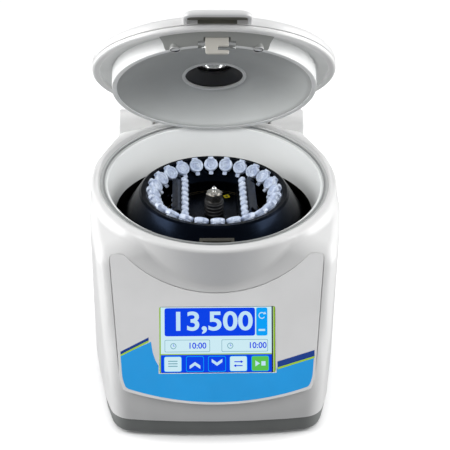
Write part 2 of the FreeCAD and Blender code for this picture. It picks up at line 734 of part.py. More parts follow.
def friction_sleeves():
    """Friction sleeves round the pins, pressed into the ears."""
    sleeve = rod(7.0, (EAR_INNER_X, HINGE_Y, HINGE_Z), (EAR_INNER_X + 22, HINGE_Y, HINGE_Z))
    bore = rod(PIN_R, (EAR_INNER_X - 1, HINGE_Y, HINGE_Z), (EAR_INNER_X + 23, HINGE_Y, HINGE_Z))
    return apart(mirrored(sleeve.cut(bore)))


# ---------------------------------------------------------------- latch in the base
def latch_block(gap):
    """Outer form of the latch receiver, with room round it when gap is above 0."""
    low, top, shoulder = LATCH_BOTTOM_Z - gap, LATCH_TOP_Z + gap, RING_Z - 1.5 + gap
    return join([box(-LATCH_HALF - gap, LATCH_HALF + gap, -97.6 - gap, -88 + gap, low, top),
                 box(-LATCH_HALF - gap, LATCH_HALF + gap, -104 - gap, -95, low, shoulder),
                 box(LATCH_HALF - 1, 36 + gap, -104 - gap, -91 + gap, low, shoulder)])


def latch_receiver():
    """Block of five plates that takes the hook and guides the bolt."""
    block = latch_block(0).cut(tube(140, DRUM_R - WALL - 0.3, 100, 200))
    mouth = box(-12.5, 12.5, HOOK_Y - 3, HOOK_Y + 3, LATCH_BOTTOM_Z + 1.5, LATCH_TOP_Z + 1)
    track = box(12, 34, HOOK_Y - 2.6, HOOK_Y + 2.6, BOLT_LOW_Z - 0.4, BOLT_TOP_Z + 0.4)
    half_line = PART_LINE / 2
    front_joint = box(-40, 40, HOOK_Y - 3 - half_line, HOOK_Y - 3 + half_line, 100, 200)
    back_joint = box(-12.5, 12.5, HOOK_Y + 3 - half_line, HOOK_Y + 3 + half_line, 100, 200)
    side_joints = [box(x - half_line, x + half_line, HOOK_Y - 3, -80, 100, 200) for x in (-12.5, 12.5)]
    return block.cut(mouth).cut(track).cut(front_joint).cut(back_joint).cut(apart(side_joints))


def latch_bolt():
    """Sliding bolt, drawn back at rest."""
    return box(12.8, 33.5, HOOK_Y - 2.2, HOOK_Y + 2.2, BOLT_LOW_Z, BOLT_TOP_Z)


def latch_motor():
    """Small gear motor that drives the bolt."""
    return box(19, 31, -106, -101, LATCH_BOTTOM_Z - 24, LATCH_BOTTOM_Z)


# ---------------------------------------------------------------- rear panel and power
def rear_panel():
    """Steel rear panel with openings for the inlet, switch and fan."""
    panel = box(-78.7, 78.7, REAR_Y - WALL, REAR_Y - 0.5, 25.3, 110.7)
    panel = panel.cut(box(-66, -38, REAR_Y - 9, REAR_Y + 1, 35, 75))
    panel = panel.cut(box(-26, -12, REAR_Y - 9, REAR_Y + 1, 44, 65))
    panel = panel.cut(fan_rod(27, REAR_Y - 9, REAR_Y + 1))
    return panel


def fan_grille():
    """Concentric wire guard in front of the fan."""
    y = REAR_Y - 1.5
    wire = 0.8
    rings = [fan_rod(r, y - wire, y + wire).cut(fan_rod(r - 2 * wire, y - 2, y + 2))
             for r in (26.9, 20, 13, 6)]
    bar = box(FAN_X - 26.8, FAN_X + 26.8, y - wire, y + wire, FAN_Z - wire, FAN_Z + wire)
    return join(rings + [spun(bar, FAN_CENTRE, Y_AXIS, 45 * k) for k in range(4)])


def fan_rod(radius, y0, y1):
    """Cylinder about the fan's axis."""
    return rod(radius, (FAN_X, y0, FAN_Z), (FAN_X, y1, FAN_Z))


def fan_frame():
    """Square fan frame behind the rear panel."""
    frame = box(FAN_X - 32, FAN_X + 32, REAR_Y - 22, REAR_Y - WALL, FAN_Z - 32, FAN_Z + 32)
    frame = frame.cut(fan_rod(28, REAR_Y - 30, REAR_Y + 1))
    strut = box(FAN_X - 29, FAN_X + 29, REAR_Y - 22, REAR_Y - 20, FAN_Z - 1.5, FAN_Z + 1.5)
    struts = [strut, spun(strut, FAN_CENTRE, Y_AXIS, 90)]
    hub = fan_rod(10, REAR_Y - 22, REAR_Y - 19)
    axle = fan_rod(1.5, REAR_Y - 20, REAR_Y - 9)
    return join([frame, hub, axle] + struts)


def fan_impeller():
    """Fan hub with seven blades."""
    hub = fan_rod(11, REAR_Y - 18.4, REAR_Y - 5)
    blade = box(FAN_X + 10, FAN_X + 26.5, REAR_Y - 16, REAR_Y - 7, FAN_Z - 0.7, FAN_Z + 0.7)
    blade = spun(blade, Vector(FAN_X + 10, REAR_Y - 11.5, FAN_Z), X_AXIS, 35)
    blades = [spun(blade, FAN_CENTRE, Y_AXIS, 360 * k / 7) for k in range(7)]
    axle_bore = fan_rod(1.55, REAR_Y - 21, REAR_Y - 8)
    return join([hub] + blades).cut(axle_bore)


def power_inlet():
    """Mains inlet with its three blades and the fuse drawer's seat."""
    body = box(-65.7, -38.3, REAR_Y - 24, REAR_Y - 0.5, 35.3, 74.7)
    flange = box(-68, -36, REAR_Y - 0.5, REAR_Y + 1.5, 33, 77)
    socket = box(-64, -40, REAR_Y - 18, REAR_Y + 3, 54, 71)
    drawer_seat = box(-63, -41, REAR_Y - 14, REAR_Y + 3, 38, 50)
    inlet = join([body, flange]).cut(socket).cut(drawer_seat)
    blades = [box(x - 1, x + 1, REAR_Y - 19, REAR_Y - 4, 60 + lift, 65 + lift)
              for x, lift in ((-59, -3), (-52, 2), (-45, -3))]
    return join([inlet] + blades)


def fuse_drawer():
    """Pull-out fuse drawer under the inlet."""
    return join([box(-62.8, -41.2, REAR_Y - 13.5, REAR_Y + 1.5, 38.2, 49.8),
                 box(-56, -48, REAR_Y + 1.5, REAR_Y + 2.3, 42, 44)])


def switch_frame():
    """Frame of the mains switch."""
    frame = box(-25.7, -12.3, REAR_Y - 16, REAR_Y - 0.5, 44.3, 64.7)
    flange = box(-27.5, -10.5, REAR_Y - 0.5, REAR_Y + 1.5, 42.5, 66.5)
    pivot_holes = rod(1.25, (-25, REAR_Y - 5, SWITCH_Z), (-13, REAR_Y - 5, SWITCH_Z))
    return join([frame, flange]).cut(box(-24, -14, REAR_Y - 12, REAR_Y + 3, 46.5, 62.5)).cut(pivot_holes)


def switch_rocker():
    """Rocker of the mains switch, pressed at its upper end."""
    y, z = REAR_Y - 5, SWITCH_Z
    profile = [(-3, -3.5), (2.2, -6.0), (5.6, -6.2), (4.4, 0), (5.6, 6.2), (2.2, 6.0), (-3, 3.5)]
    rocker = side_prism([(y + out, z + up) for out, up in profile], -23.6, -14.4)
    rocker = join([rocker, rod(1.2, (-24.8, y, z), (-13.2, y, z))])
    return spun(rocker, Vector(0, y, z), X_AXIS, ROCKER_TILT)


def power_board():
    """Motor drive and power supply board with its heat sink and capacitors."""
    z = FOOT_HEIGHT + WALL
    parts = [box(-80, 60, 68, 112, z + 6, z + 7.6)]
    parts += [disc(9, z + 7.6, z + 33, x, 98) for x in (-66, -42)]
    parts += [box(-20 + 7 * k, -17 + 7 * k, 74, 106, z + 11, z + 32) for k in range(6)]
    parts += [box(-20, 18, 74, 106, z + 7.6, z + 11), box(28, 52, 76, 104, z + 7.6, z + 26)]
    return join(parts)


def board_standoffs():
    """Pillars under the power board."""
    z = FOOT_HEIGHT + WALL
    return apart([disc(3, z, z + 6, x, y) for x in (-74, 54) for y in (72, 108)])


NODES = [
    base_plinth, main_housing, hinge_bay_floor, front_panel, touch_glass, display_module, control_board,
    board_pillars, chamber_collar, lid_seal, chamber_bowl, guard_ring, shaft_seal, motor_housing,
    motor_bearings, motor_shaft, mount_plate, motor_dampers, motor_posts, rotor_body, sample_tubes,
    tube_strips, clamp_post, clamp_nut, lock_pin, balance_label, lid_outer_shell, lid_liner, liner_screws,
    window_well, window_bezel, lid_window, lid_handle, latch_hook, lid_bracket, hinge_pins,
    friction_sleeves, latch_receiver, latch_bolt, latch_motor, rear_panel, fan_grille, fan_frame,
    fan_impeller, power_inlet, fuse_drawer, switch_frame, switch_rocker, power_board, board_standoffs,
]
LID_NODES = {lid_outer_shell, lid_liner, liner_screws, window_well, window_bezel, lid_window, lid_handle,
             latch_hook, lid_bracket}


def main():
    """Build and export every node."""
    os.makedirs("parts", exist_ok=True)
    for build in NODES:
        shape = build()
        export(build.__name__, opened(shape) if build in LID_NODES else shape)
    export("rubber_feet", feet())


main()
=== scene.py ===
"""Look of a bench-top laboratory centrifuge with its lid open.

Shapes are drawn in millimetres about the rotor axis, with z = 0 at the bench, and are
carried into the frame by WORLD. X is to the right, Y to the back, Z up.
"""
import json
from math import asin, atan, atan2, cos, hypot, pi, radians, sin, tan

import bmesh
import bpy
import numpy as np
from mathutils import Matrix, Vector

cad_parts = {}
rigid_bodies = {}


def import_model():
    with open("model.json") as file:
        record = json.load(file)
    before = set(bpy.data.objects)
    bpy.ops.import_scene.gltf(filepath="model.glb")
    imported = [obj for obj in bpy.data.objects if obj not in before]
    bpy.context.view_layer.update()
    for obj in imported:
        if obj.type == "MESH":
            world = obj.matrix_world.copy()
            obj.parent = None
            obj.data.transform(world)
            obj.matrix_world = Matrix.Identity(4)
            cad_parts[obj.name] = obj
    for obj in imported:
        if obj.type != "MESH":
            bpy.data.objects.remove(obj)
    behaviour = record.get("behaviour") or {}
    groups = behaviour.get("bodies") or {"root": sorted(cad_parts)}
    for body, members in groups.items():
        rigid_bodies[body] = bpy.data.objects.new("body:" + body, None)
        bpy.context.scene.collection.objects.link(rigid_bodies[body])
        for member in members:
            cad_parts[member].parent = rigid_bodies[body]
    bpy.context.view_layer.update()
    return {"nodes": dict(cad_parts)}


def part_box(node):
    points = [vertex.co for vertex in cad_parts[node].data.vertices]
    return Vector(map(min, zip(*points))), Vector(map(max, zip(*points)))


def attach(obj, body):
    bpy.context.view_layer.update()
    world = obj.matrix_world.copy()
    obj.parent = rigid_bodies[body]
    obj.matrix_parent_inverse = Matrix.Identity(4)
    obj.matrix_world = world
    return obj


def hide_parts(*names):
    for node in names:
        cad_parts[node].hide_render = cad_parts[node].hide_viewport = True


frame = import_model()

# ---------------- places from the frame
MM = 0.001
post_low, post_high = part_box("clamp_post")
pin_low, pin_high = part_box("hinge_pins")
housing_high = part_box("main_housing")[1]
AXIS_Y = (post_low.y + post_high.y) / 2
RING_Z = post_high.z / MM + 9.0                  # plane of the tube caps' centres
HINGE = Vector((0, ((pin_low.y + pin_high.y) / 2 - AXIS_Y) / MM, (pin_low.z + pin_high.z) / 2 / MM))
SEAM_Z = 19.3                                    # lower edge of the white housing
REAR_Y = (housing_high.y - AXIS_Y) / MM

# ---------------- driving dimensions
RIM_Z = 173.5
RIM_TILT = 5.0
LID_GAP = 0.8
LID_OPEN = 47.6
FRONT_TILT = 30.0
PANEL_TOP = Vector((0, -115.0, 123.0))           # panel heights below are measured up its slope
PANEL_TOP_S = 33
PANEL_LOW_S = -74
PANEL_TOP_HALF = 92.5
PANEL_LOW_HALF = 84
PANEL_THICK = 1.5
PRINT_MARGIN = 2.2
HOUSING_WALL = 3.0
EAR_R = 15                                       # hinge covers
EAR_INNER_X = 58.2
EAR_OUTER_X = 92.6
DRUM_R = 113.5
LEDGE_R = 105.4
MOUTH_R = 98.2
LEDGE_DROP = 3.0
SHELF_DROP = 3.5
SHELF_FALL = 0.35
BOWL_R = 91.8
BOWL_TOP_Z = 141.0
LID_R = 111.0
LIP_INNER_R = 104.0
LIP_CLEARANCE = 1.5                              # from the rim to the closed lid's lip
LID_SEAM_H = 5.0
DOME_H = 22.0
CROWN_R = 106
CROWN_EDGE_H = 14.0
LID_WALL = 2.5
RING_WALL_R = 93.0
BOWL_EDGE_R = 88.5                               # concave bowl in the lid
BOWL_RISE = 14.5
SIGHT_HOLE_R = 27.0
WINDOW_R = 12.5
ROTOR_DEPTH = 23                                 # from the caps' plane to the rotor's floor
TUBE_RING_R = 55.0
TUBE_COUNT = 24
CAP_R = 6.6
CAP_PHASE = 1.8
STRIP_X = 27.0
STRIP_PITCH = 9.0
SCREEN_W = 100.0
SCREEN_H = 57.0
SCREEN_S = -41.0
SCREEN_TOP = -1.45                               # face of the display, below the panel's face
HOOK_Y = -95.8
HOOK_HALF = 9.75
WELL_X = 35.0
WELL_Y = -84.9
WELL_R = 4.2
GRIP_W = 57.0
GRIP_REACH = 17.5
GRIP_LOW = 4.8
GRIP_TOP = 11.0
GRIP_WEB = 2.2
SKY_STRENGTH = 0.29
CAMERA_PLACE = (-0.0286, -0.9234, 0.6683)
CAMERA_LENS = 91.4
CAMERA_DOWN, CAMERA_LEFT, CAMERA_ROLL = (radians(turn) for turn in (30.26, 2.40, 0.9))


def turned(degrees, axis):
    """Rotation about an axis."""
    return Matrix.Rotation(radians(degrees), 4, axis)


WORLD = Matrix.Translation((0, AXIS_Y, 0)) @ Matrix.Scale(MM, 4)
RIM = Matrix.Translation((0, 0, RIM_Z)) @ turned(RIM_TILT, "X")
OPEN = Matrix.Translation(HINGE) @ turned(-LID_OPEN, "X") @ Matrix.Translation(-HINGE)
LID_RIM = OPEN @ Matrix.Translation((0, 0, LID_GAP)) @ RIM
SLOPE = Matrix.Translation(PANEL_TOP) @ turned(90 - FRONT_TILT, "X")
LEVEL = Matrix.Identity(4)
UPRIGHT = Matrix(((1, 0, 0, 0), (0, 0, -1, 0), (0, 1, 0, 0), (0, 0, 0, 1)))
SIDEWAYS = Matrix(((0, 0, 1, 0), (1, 0, 0, 0), (0, 1, 0, 0), (0, 0, 0, 1)))
SEGMENTS = 216


# ---------------- forms: (points, faces) in millimetres
def carried(form, matrix):
    """A form moved by a matrix."""
    points, faces = form
    return [matrix @ Vector(p) for p in points], faces


def joined(forms):
    """Several forms as one."""
    points, faces = [], []
    for some_points, some_faces in forms:
        faces += [[i + len(points) for i in face] for face in some_faces]
        points += [Vector(p) for p in some_points]
    return points, faces


def rounded(corners, radii, steps=5):
    """Closed outline with each corner eased by about its radius; 0 keeps a corner sharp."""
    outline = []
    count = len(corners)
    if not hasattr(radii, "__len__"):
        radii = [radii] * count
    for k, (corner, radius) in enumerate(zip(corners, radii)):
        here = Vector(corner)
        before, after = Vector(corners[k - 1]) - here, Vector(corners[(k + 1) % count]) - here
        if radius == 0 or before.length < 1e-6 or after.length < 1e-6:
            outline.append(tuple(here))
            continue
        half = max(before.angle(after) / 2, 0.05)
        reach = min(radius / tan(half), 0.48 * before.length, 0.48 * after.length)
        start, end = here + before.normalized() * reach, here + after.normalized() * reach
        for step in range(steps + 1):
            t = step / steps
            outline.append(tuple(start * (1 - t) ** 2 + here * 2 * t * (1 - t) + end * t ** 2))
    return outline


def arc(cx, cy, radius, start, end, steps=12):
    """Points on an arc, angles in degrees."""
    turns = [radians(start + (end - start) * k / steps) for k in range(steps + 1)]
    return [(cx + radius * cos(t), cy + radius * sin(t)) for t in turns]


def wrapped(rings, closed=True):
    """Form from outlines side by side all the way round; open outlines end on the axis."""
    rows = len(rings[0])
    faces = []
    for k in range(len(rings)):
        this, after = k * rows, (k + 1) % len(rings) * rows
        for j in range(rows if closed else rows - 1):
            up = (j + 1) % rows
            faces.append([this + j, after + j, after + up, this + up])
    return [p for ring in rings for p in ring], faces


def lathe(outline, segments=None, closed=True):
    """Form turned about Z from (radius, height) points, or (radius, height, matrix) for mixed frames."""
    segments = segments or SEGMENTS
    rings = []
    for k in range(segments):
        turn = 2 * pi * k / segments
        ring = [Vector((row[0] * cos(turn), row[0] * sin(turn), row[1])) for row in outline]
        rings.append([row[2] @ spot if len(row) > 2 else spot for row, spot in zip(outline, ring)])
    return wrapped(rings, closed)


def skinned(rings):
    """Form from rings of equally many points, one beyond another, with both ends closed."""
    count = len(rings[0])
    last = (len(rings) - 1) * count
    faces = [list(range(count))[::-1], list(range(last, last + count))]
    for this in range(0, last, count):
        faces += [[this + k, this + (k + 1) % count, this + count + (k + 1) % count, this + count + k]
                  for k in range(count)]
    return [p for ring in rings for p in ring], faces


def prism(outline, low, high):
    """Form extruded along Z from (x, y) points."""
    return skinned([[(x, y, z) for x, y in outline] for z in (low, high)])


def side_prism(outline, x0, x1):
    """Form extruded along X from (y, z) points."""
    return carried(prism(outline, x0, x1), SIDEWAYS)


def disc(radius, low, high, x=0.0, y=0.0, steps=24):
    """Round form."""
    return prism(arc(x, y, radius, 0, 360 - 360 / steps, steps - 1), low, high)


def block(x0, x1, y0, y1, z0, z1):
    """Rectangular form."""
    return prism([(x0, y0), (x1, y0), (x1, y1), (x0, y1)], z0, z1)


def plate(width, height, corner, low, high, x=0.0, y=0.0, steps=6):
    """Rectangular plate with rounded corners."""
    half_w, half_h = width / 2, height / 2
    corners = [(x + a * half_w, y + b * half_h) for a, b in ((-1, -1), (1, -1), (1, 1), (-1, 1))]
    return prism(rounded(corners, corner, steps), low, high)


# ---------------- pieces
def make_mesh(name, form):
    """Mesh data in metres from a form, cleaned and with outward faces."""
    points, faces = carried(form, WORLD)
    sheet = bmesh.new()
    verts = [sheet.verts.new(p) for p in points]
    for face in faces:
        if len(set(face)) > 2:
            try:
                sheet.faces.new([verts[i] for i in face])
            except ValueError:
                pass
    bmesh.ops.remove_doubles(sheet, verts=sheet.verts, dist=1e-7)
    bmesh.ops.dissolve_degenerate(sheet, edges=sheet.edges, dist=1e-8)
    bmesh.ops.recalc_face_normals(sheet, faces=sheet.faces)
    data = bpy.data.meshes.new(name)
    sheet.to_mesh(data)
    sheet.free()
    return data


def show(name, data):
    """A new object in the scene."""
    made = bpy.data.objects.new(name, data)
    bpy.context.scene.collection.objects.link(made)
    return made


def settled(made):
    """Mesh of an object with its modifiers or its text worked out."""
    bpy.context.view_layer.update()
    return bpy.data.meshes.new_from_object(made.evaluated_get(bpy.context.evaluated_depsgraph_get()))


def piece(name, form, body, material, replaces=(), sharp=35, bevel=0.0, bevel_steps=2):
    """A finished piece of the object that rides on a body."""
    made = show(name, make_mesh(name, form))
    finish_piece(made, body, material, replaces, sharp, bevel, bevel_steps)
    return made


def finish_piece(made, body, material, replaces=(), sharp=35, bevel=0.0, bevel_steps=2):
    """Shade, bevel, paint and attach a piece."""
    made.data.materials.clear()
    made.data.materials.append(material)
    made.data.shade_smooth()
    made.data.set_sharp_from_angle(angle=radians(sharp))
    if bevel:
        edge = made.modifiers.new("Edges", "BEVEL")
        edge.width = bevel * MM
        edge.segments = bevel_steps
        edge.limit_method = "ANGLE"
        edge.angle_limit = radians(sharp)
        edge.harden_normals = True
    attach(made, body)
    if replaces:
        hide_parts(*replaces)


def cut_from(made, forms, sharp=40):
    """Take one form after another out of a piece for good, and mark its sharp edges."""
    made.modifiers.clear()
    tools = [show("cutter", make_mesh("cutter", form)) for form in forms]
    for tool in tools:
        cut = made.modifiers.new("Cut", "BOOLEAN")
        cut.operation = "DIFFERENCE"
        cut.solver = "EXACT"
        cut.object = tool
    result = settled(made)
    made.modifiers.clear()
    made.data = result
    made.data.set_sharp_from_angle(angle=radians(sharp))
    for tool in tools:
        bpy.data.objects.remove(tool)


# ---------------- materials
class Look:
    """A material with a Principled shader, patterned in the object's own coordinates."""

    def __init__(self, name):
        self.made = bpy.data.materials.new(name)
        self.made.use_nodes = True
        self.nodes, self.links = self.made.node_tree.nodes, self.made.node_tree.links
        self.shader = self.nodes["Principled BSDF"]
        self.coords = self.nodes.new("ShaderNodeTexCoord").outputs["Object"]

    def noise(self, size_mm, detail=3.0, stretch=None):
        """Noise with features about size_mm across."""
        coords = self.coords
        if stretch:
            mapping = self.nodes.new("ShaderNodeMapping")
            mapping.inputs["Scale"].default_value = stretch
            self.links.new(coords, mapping.inputs["Vector"])
            coords = mapping.outputs["Vector"]
        texture = self.nodes.new("ShaderNodeTexNoise")
        texture.inputs["Scale"].default_value = 1.0 / (size_mm * MM)
        texture.inputs["Detail"].default_value = detail
        self.links.new(coords, texture.inputs["Vector"])
        return texture.outputs["Fac"]

    def vary(self, channel, factor, low, high):
        """Run a channel from low to high, value or colour, as a factor passes its middle."""
        spread = self.nodes.new("ShaderNodeValToRGB")
        for element, place, end in zip(spread.color_ramp.elements, (0.35, 0.65), (low, high)):
            element.position = place
            element.color = (*(end if hasattr(end, "__len__") else (end,) * 3), 1)
        self.links.new(factor, spread.inputs["Fac"])
        self.links.new(spread.outputs["Color"], self.shader.inputs[channel])

    def relief(self, height, depth_mm, strength):
        """Surface relief of a given depth."""
        bump = self.nodes.new("ShaderNodeBump")
        bump.inputs["Distance"].default_value = depth_mm * MM
        bump.inputs["Strength"].default_value = strength
        self.links.new(height, bump.inputs["Height"])
        self.links.new(bump.outputs["Normal"], self.shader.inputs["Normal"])

    def fix(self, channel, value):
        """Give a channel one value."""
        self.shader.inputs[channel].default_value = value


def shade(colour, factor):
    """A darker or lighter version of a colour."""
    return tuple(min(1.0, channel * factor) for channel in colour)


def moulded(name, colour, rough=0.35, grain_mm=0.5, grain_depth=0.012, coat=0.0, vary=0.03, spread=0.06,
            specular=0.5):
    """Moulded plastic: fine spark-eroded grain, slight colour and gloss variation."""
    look = Look(name)
    look.vary("Base Color", look.noise(34.0, 2.0), shade(colour, 1 - vary), shade(colour, 1 + vary))
    look.vary("Roughness", look.noise(9.0, 4.0), rough - spread, rough + spread)
    look.relief(look.noise(grain_mm, 2.0), grain_depth, 0.6)
    look.fix("Coat Weight", coat)
    look.fix("Coat Roughness", 0.12)
    look.fix("Specular IOR Level", specular)
    return look.made


def printed(name, colour):
    """Ink under a textured overlay film."""
    return moulded(name, colour, 0.42, 0.35, 0.006, 0.0, 0.025, 0.04, 0.2)


def metal(name, colour, rough=0.3, brushed=(1.0, 1.0, 1.0), size_mm=0.6, depth=0.01, spread=0.1):
    """Machined or pressed metal with fine tool marks."""
    look = Look(name)
    marks = look.noise(size_mm, 3.0, brushed)
    look.vary("Base Color", look.noise(12.0, 2.0), shade(colour, 0.9), shade(colour, 1.08))
    look.vary("Roughness", marks, rough - spread, rough + spread)
    look.relief(marks, depth, 0.5)
    look.fix("Metallic", 1.0)
    return look.made


def frosted(name, colour, deep, rough=0.22):
    """Translucent polypropylene of a sample tube: cloudy, with streaks from moulding."""
    look = Look(name)
    cloud = look.noise(6.0, 2.0)
    look.vary("Base Color", cloud, deep, colour)
    look.vary("Roughness", cloud, rough - 0.06, rough + 0.1)
    look.fix("Transmission Weight", 0.04)
    look.fix("IOR", 1.49)
    look.relief(look.noise(2.4, 2.0), 0.012, 0.3)
    return look.made


def clear(name, colour, rough=0.03):
    """Clear plastic or glass."""
    look = Look(name)
    look.vary("Roughness", look.noise(6.0, 3.0), rough, rough + 0.05)
    look.fix("Base Color", (*colour, 1))
    look.fix("Transmission Weight", 0.95)
    look.fix("IOR", 1.49)
    return look.made


def lit(name, colour, strength):
    """Part of a back-lit display: even light through a fine pixel grid."""
    look = Look(name)
    grid = look.nodes.new("ShaderNodeTexChecker")
    grid.inputs["Scale"].default_value = 1.0 / (0.3 * MM)
    grid.inputs["Color1"].default_value = (*colour, 1)
    grid.inputs["Color2"].default_value = (*shade(colour, 0.94), 1)
    look.links.new(look.coords, grid.inputs["Vector"])
    look.links.new(grid.outputs["Color"], look.shader.inputs["Emission Color"])
    look.fix("Base Color", (*shade(colour, 0.03), 1))
    look.fix("Specular IOR Level", 0.15)
    look.fix("Emission Strength", strength)
    look.vary("Roughness", look.noise(14.0, 3.0), 0.18, 0.3)
    return look.made


WHITE = moulded("housing_white_plastic", (0.82, 0.82, 0.815), 0.36, 0.45, 0.010, 0.12, 0.012)
LID_WHITE = moulded("lid_white_plastic", (0.82, 0.82, 0.815), 0.34, 0.45, 0.010, 0.15, 0.012)
INNER_GREY = moulded("lid_recess_grey", (0.74, 0.75, 0.745), 0.42, 0.6, 0.015, 0.0, 0.03)
BOWL_GREY = moulded("lid_bowl_grey", (0.45, 0.463, 0.455), 0.46, 0.6, 0.010, 0.0, 0.02, 0.03)
# Painted shade: the latch platform and the well towers are coloured dark grey for the shade on that part of
# the lid's underside.
DECK_PAINTED_SHADE = moulded("latch_deck_painted_shade", (0.37, 0.38, 0.365), 0.46, 0.6, 0.012, 0.0, 0.02, 0.03)
RING_GREY = moulded("lid_ring_grey", (0.80, 0.81, 0.805), 0.36, 0.6, 0.012, 0.1, 0.03)
COLLAR_WHITE = moulded("collar_white_plastic", (0.75, 0.765, 0.76), 0.36, 0.5, 0.006, 0.1, 0.010, 0.02)
# Painted shade: the collar's ledge is a darker grey copy of the collar white, standing for the shade on its
# inward-sloping face.
LEDGE_PAINTED_SHADE = moulded("collar_ledge_painted_shade", (0.54, 0.55, 0.55), 0.36, 0.5, 0.006, 0.05, 0.015, 0.02)
PLINTH_GREY = moulded("plinth_dark_grey", (0.235, 0.245, 0.24), 0.48, 0.9, 0.05, 0.0, 0.06)
PANEL_SILVER = printed("panel_silver_film", (0.66, 0.66, 0.66))
INK_BLUE = printed("ink_sky_blue", (0.010, 0.33, 0.78))
INK_NAVY = printed("ink_navy", (0.002, 0.040, 0.26))
INK_LIME = printed("ink_lime", (0.38, 0.62, 0.03))
RUBBER = moulded("black_rubber", (0.02, 0.02, 0.02), 0.7, 0.7, 0.03, 0.0, 0.1)
SEAL_GREY = moulded("seal_rubber_grey", (0.30, 0.31, 0.31), 0.6, 0.7, 0.03, 0.0, 0.05)
BLACK = moulded("black_plastic", (0.015, 0.015, 0.016), 0.42, 0.7, 0.03, 0.0, 0.1)
# Painted shade: dark olive sheets inside the handle's finger pocket stand for the shade in it.
GRIP_POCKET_PAINTED_SHADE = moulded("grip_pocket_painted_shade", (0.15, 0.147, 0.12), 0.6, 0.7, 0.03, 0.0, 0.06)
LATCH_BROWN = moulded("latch_grey_brown", (0.055, 0.053, 0.042), 0.45, 0.6, 0.02, 0.0, 0.1)
HOOK_CREAM = moulded("hook_cream_coat", (0.74, 0.715, 0.65), 0.4, 1.2, 0.03, 0.1, 0.03)
YELLOW = printed("label_yellow_film", (0.75, 0.62, 0.02))
BOARD_GREEN = moulded("board_green_mask", (0.01, 0.13, 0.05), 0.35, 1.5, 0.05, 0.3, 0.15)
STEEL = metal("machined_steel", (0.55, 0.53, 0.49), 0.28, (1, 1, 6), 0.8, 0.01)
BRIGHT = metal("polished_steel", (0.85, 0.85, 0.84), 0.12, (1, 1, 1), 1.5, 0.004, 0.05)
PANEL_STEEL = metal("rear_panel_zinc", (0.55, 0.56, 0.56), 0.42, (1, 1, 14), 0.9, 0.006)
DARK_STEEL = metal("motor_dark_steel", (0.12, 0.12, 0.125), 0.45, (1, 1, 1), 1.2, 0.02)
BOWL_STEEL = metal("bowl_dark_steel", (0.055, 0.053, 0.045), 0.38, (1, 1, 10), 1.2, 0.01, 0.12)
ANODISED = metal("black_anodised", (0.006, 0.009, 0.016), 0.26, (1, 1, 12), 0.7, 0.006, 0.08)
OLD_GOLD = metal("engraved_gold", (0.42, 0.34, 0.18), 0.4, (1, 1, 1), 1.0, 0.01)
TUBE = frosted("tube_frosted_plastic", (0.68, 0.76, 0.90), (0.46, 0.54, 0.72))
CLEAR = clear("window_clear_plastic", (0.92, 0.95, 0.95))
DARK_GLASS = moulded("screen_border_black", (0.008, 0.008, 0.01), 0.12, 3.0, 0.002, 0.3, 0.1, 0.04)


# ---------------- housing
PLAN_HALF = [(0, -162), (30, -161.4), (60, -159.5), (90, -156), (99, -126), (104.5, -96), (110.5, -62),
             (113.95, -30), (113.95, 38), (95, 98), (92, 140)]
PLAN_EASE = [0, 60, 60, 24, 90, 90, 90, 80, 60, 30, 14]


def plan_outline():
    """Plan of the housing at its seam, as a closed outline."""
    left = [(-x, y) for x, y in PLAN_HALF[:0:-1]]
    return rounded(PLAN_HALF + left, PLAN_EASE + PLAN_EASE[:0:-1], 10)


def polar_plan(turns):
    """Radius of the plan and the lean of its edge at each azimuth."""
    outline = plan_outline()
    outline = np.array(outline + outline[:1])
    length = np.concatenate([[0], np.cumsum(np.hypot(*np.diff(outline, axis=0).T))])
    along = np.linspace(0, length[-1], 6001)[:-1]
    x, y = np.interp(along, length, outline[:, 0]), np.interp(along, length, outline[:, 1])
    angle, radius = np.arctan2(y, x) % (2 * pi), np.hypot(x, y)
    order = np.argsort(angle)
    angle, radius = angle[order], radius[order]
    reach = np.interp(turns, angle, radius, period=2 * pi)
    step = 0.004
    change = (np.interp(turns + step, angle, radius, period=2 * pi)
              - np.interp(turns - step, angle, radius, period=2 * pi)) / (2 * step)
    return reach, reach / np.hypot(reach, change)


def round_both(a, b, radius):
    """Distance to what two forms share, with their edge rounded."""
    past = np.hypot(np.maximum(a + radius, 0), np.maximum(b + radius, 0))
    return np.minimum(np.maximum(a, b), -radius) + past


def round_either(a, b, radius):
    """Distance to two forms joined, with the corner between them filled."""
    short = np.hypot(np.maximum(radius - a, 0), np.maximum(radius - b, 0))
    return np.maximum(radius, np.minimum(a, b)) - short


def housing_distance(turns, rho, z, reach, lean, inset):
    """Signed distance to the housing's outer form, or to its hollow with an inset."""
    tilt, slope = radians(RIM_TILT), radians(FRONT_TILT)
    x, y = rho * np.cos(turns), rho * np.sin(turns)
    height = (z - RIM_Z) * cos(tilt) - y * sin(tilt)
    across = np.hypot(x, y * cos(tilt) + (z - RIM_Z) * sin(tilt))
    side = (rho - reach) * lean
    front = (z - PANEL_TOP.z) * sin(slope) - (y - PANEL_TOP.y) * cos(slope)
    shelf = (height + SHELF_DROP + SHELF_FALL * (across - DRUM_R)) * cos(atan(SHELF_FALL))
    body = round_both(round_both(side, front, 11.0), shelf, 8.0)
    drum = round_both(rho - DRUM_R, height, 3.2)
    blend = 0.3 + (1.5 + 5.0 * np.clip((shelf - front) / 14 + 0.3, 0, 1)) * np.clip(-side / 10, 0, 1)
    return round_either(body, drum, blend) + inset


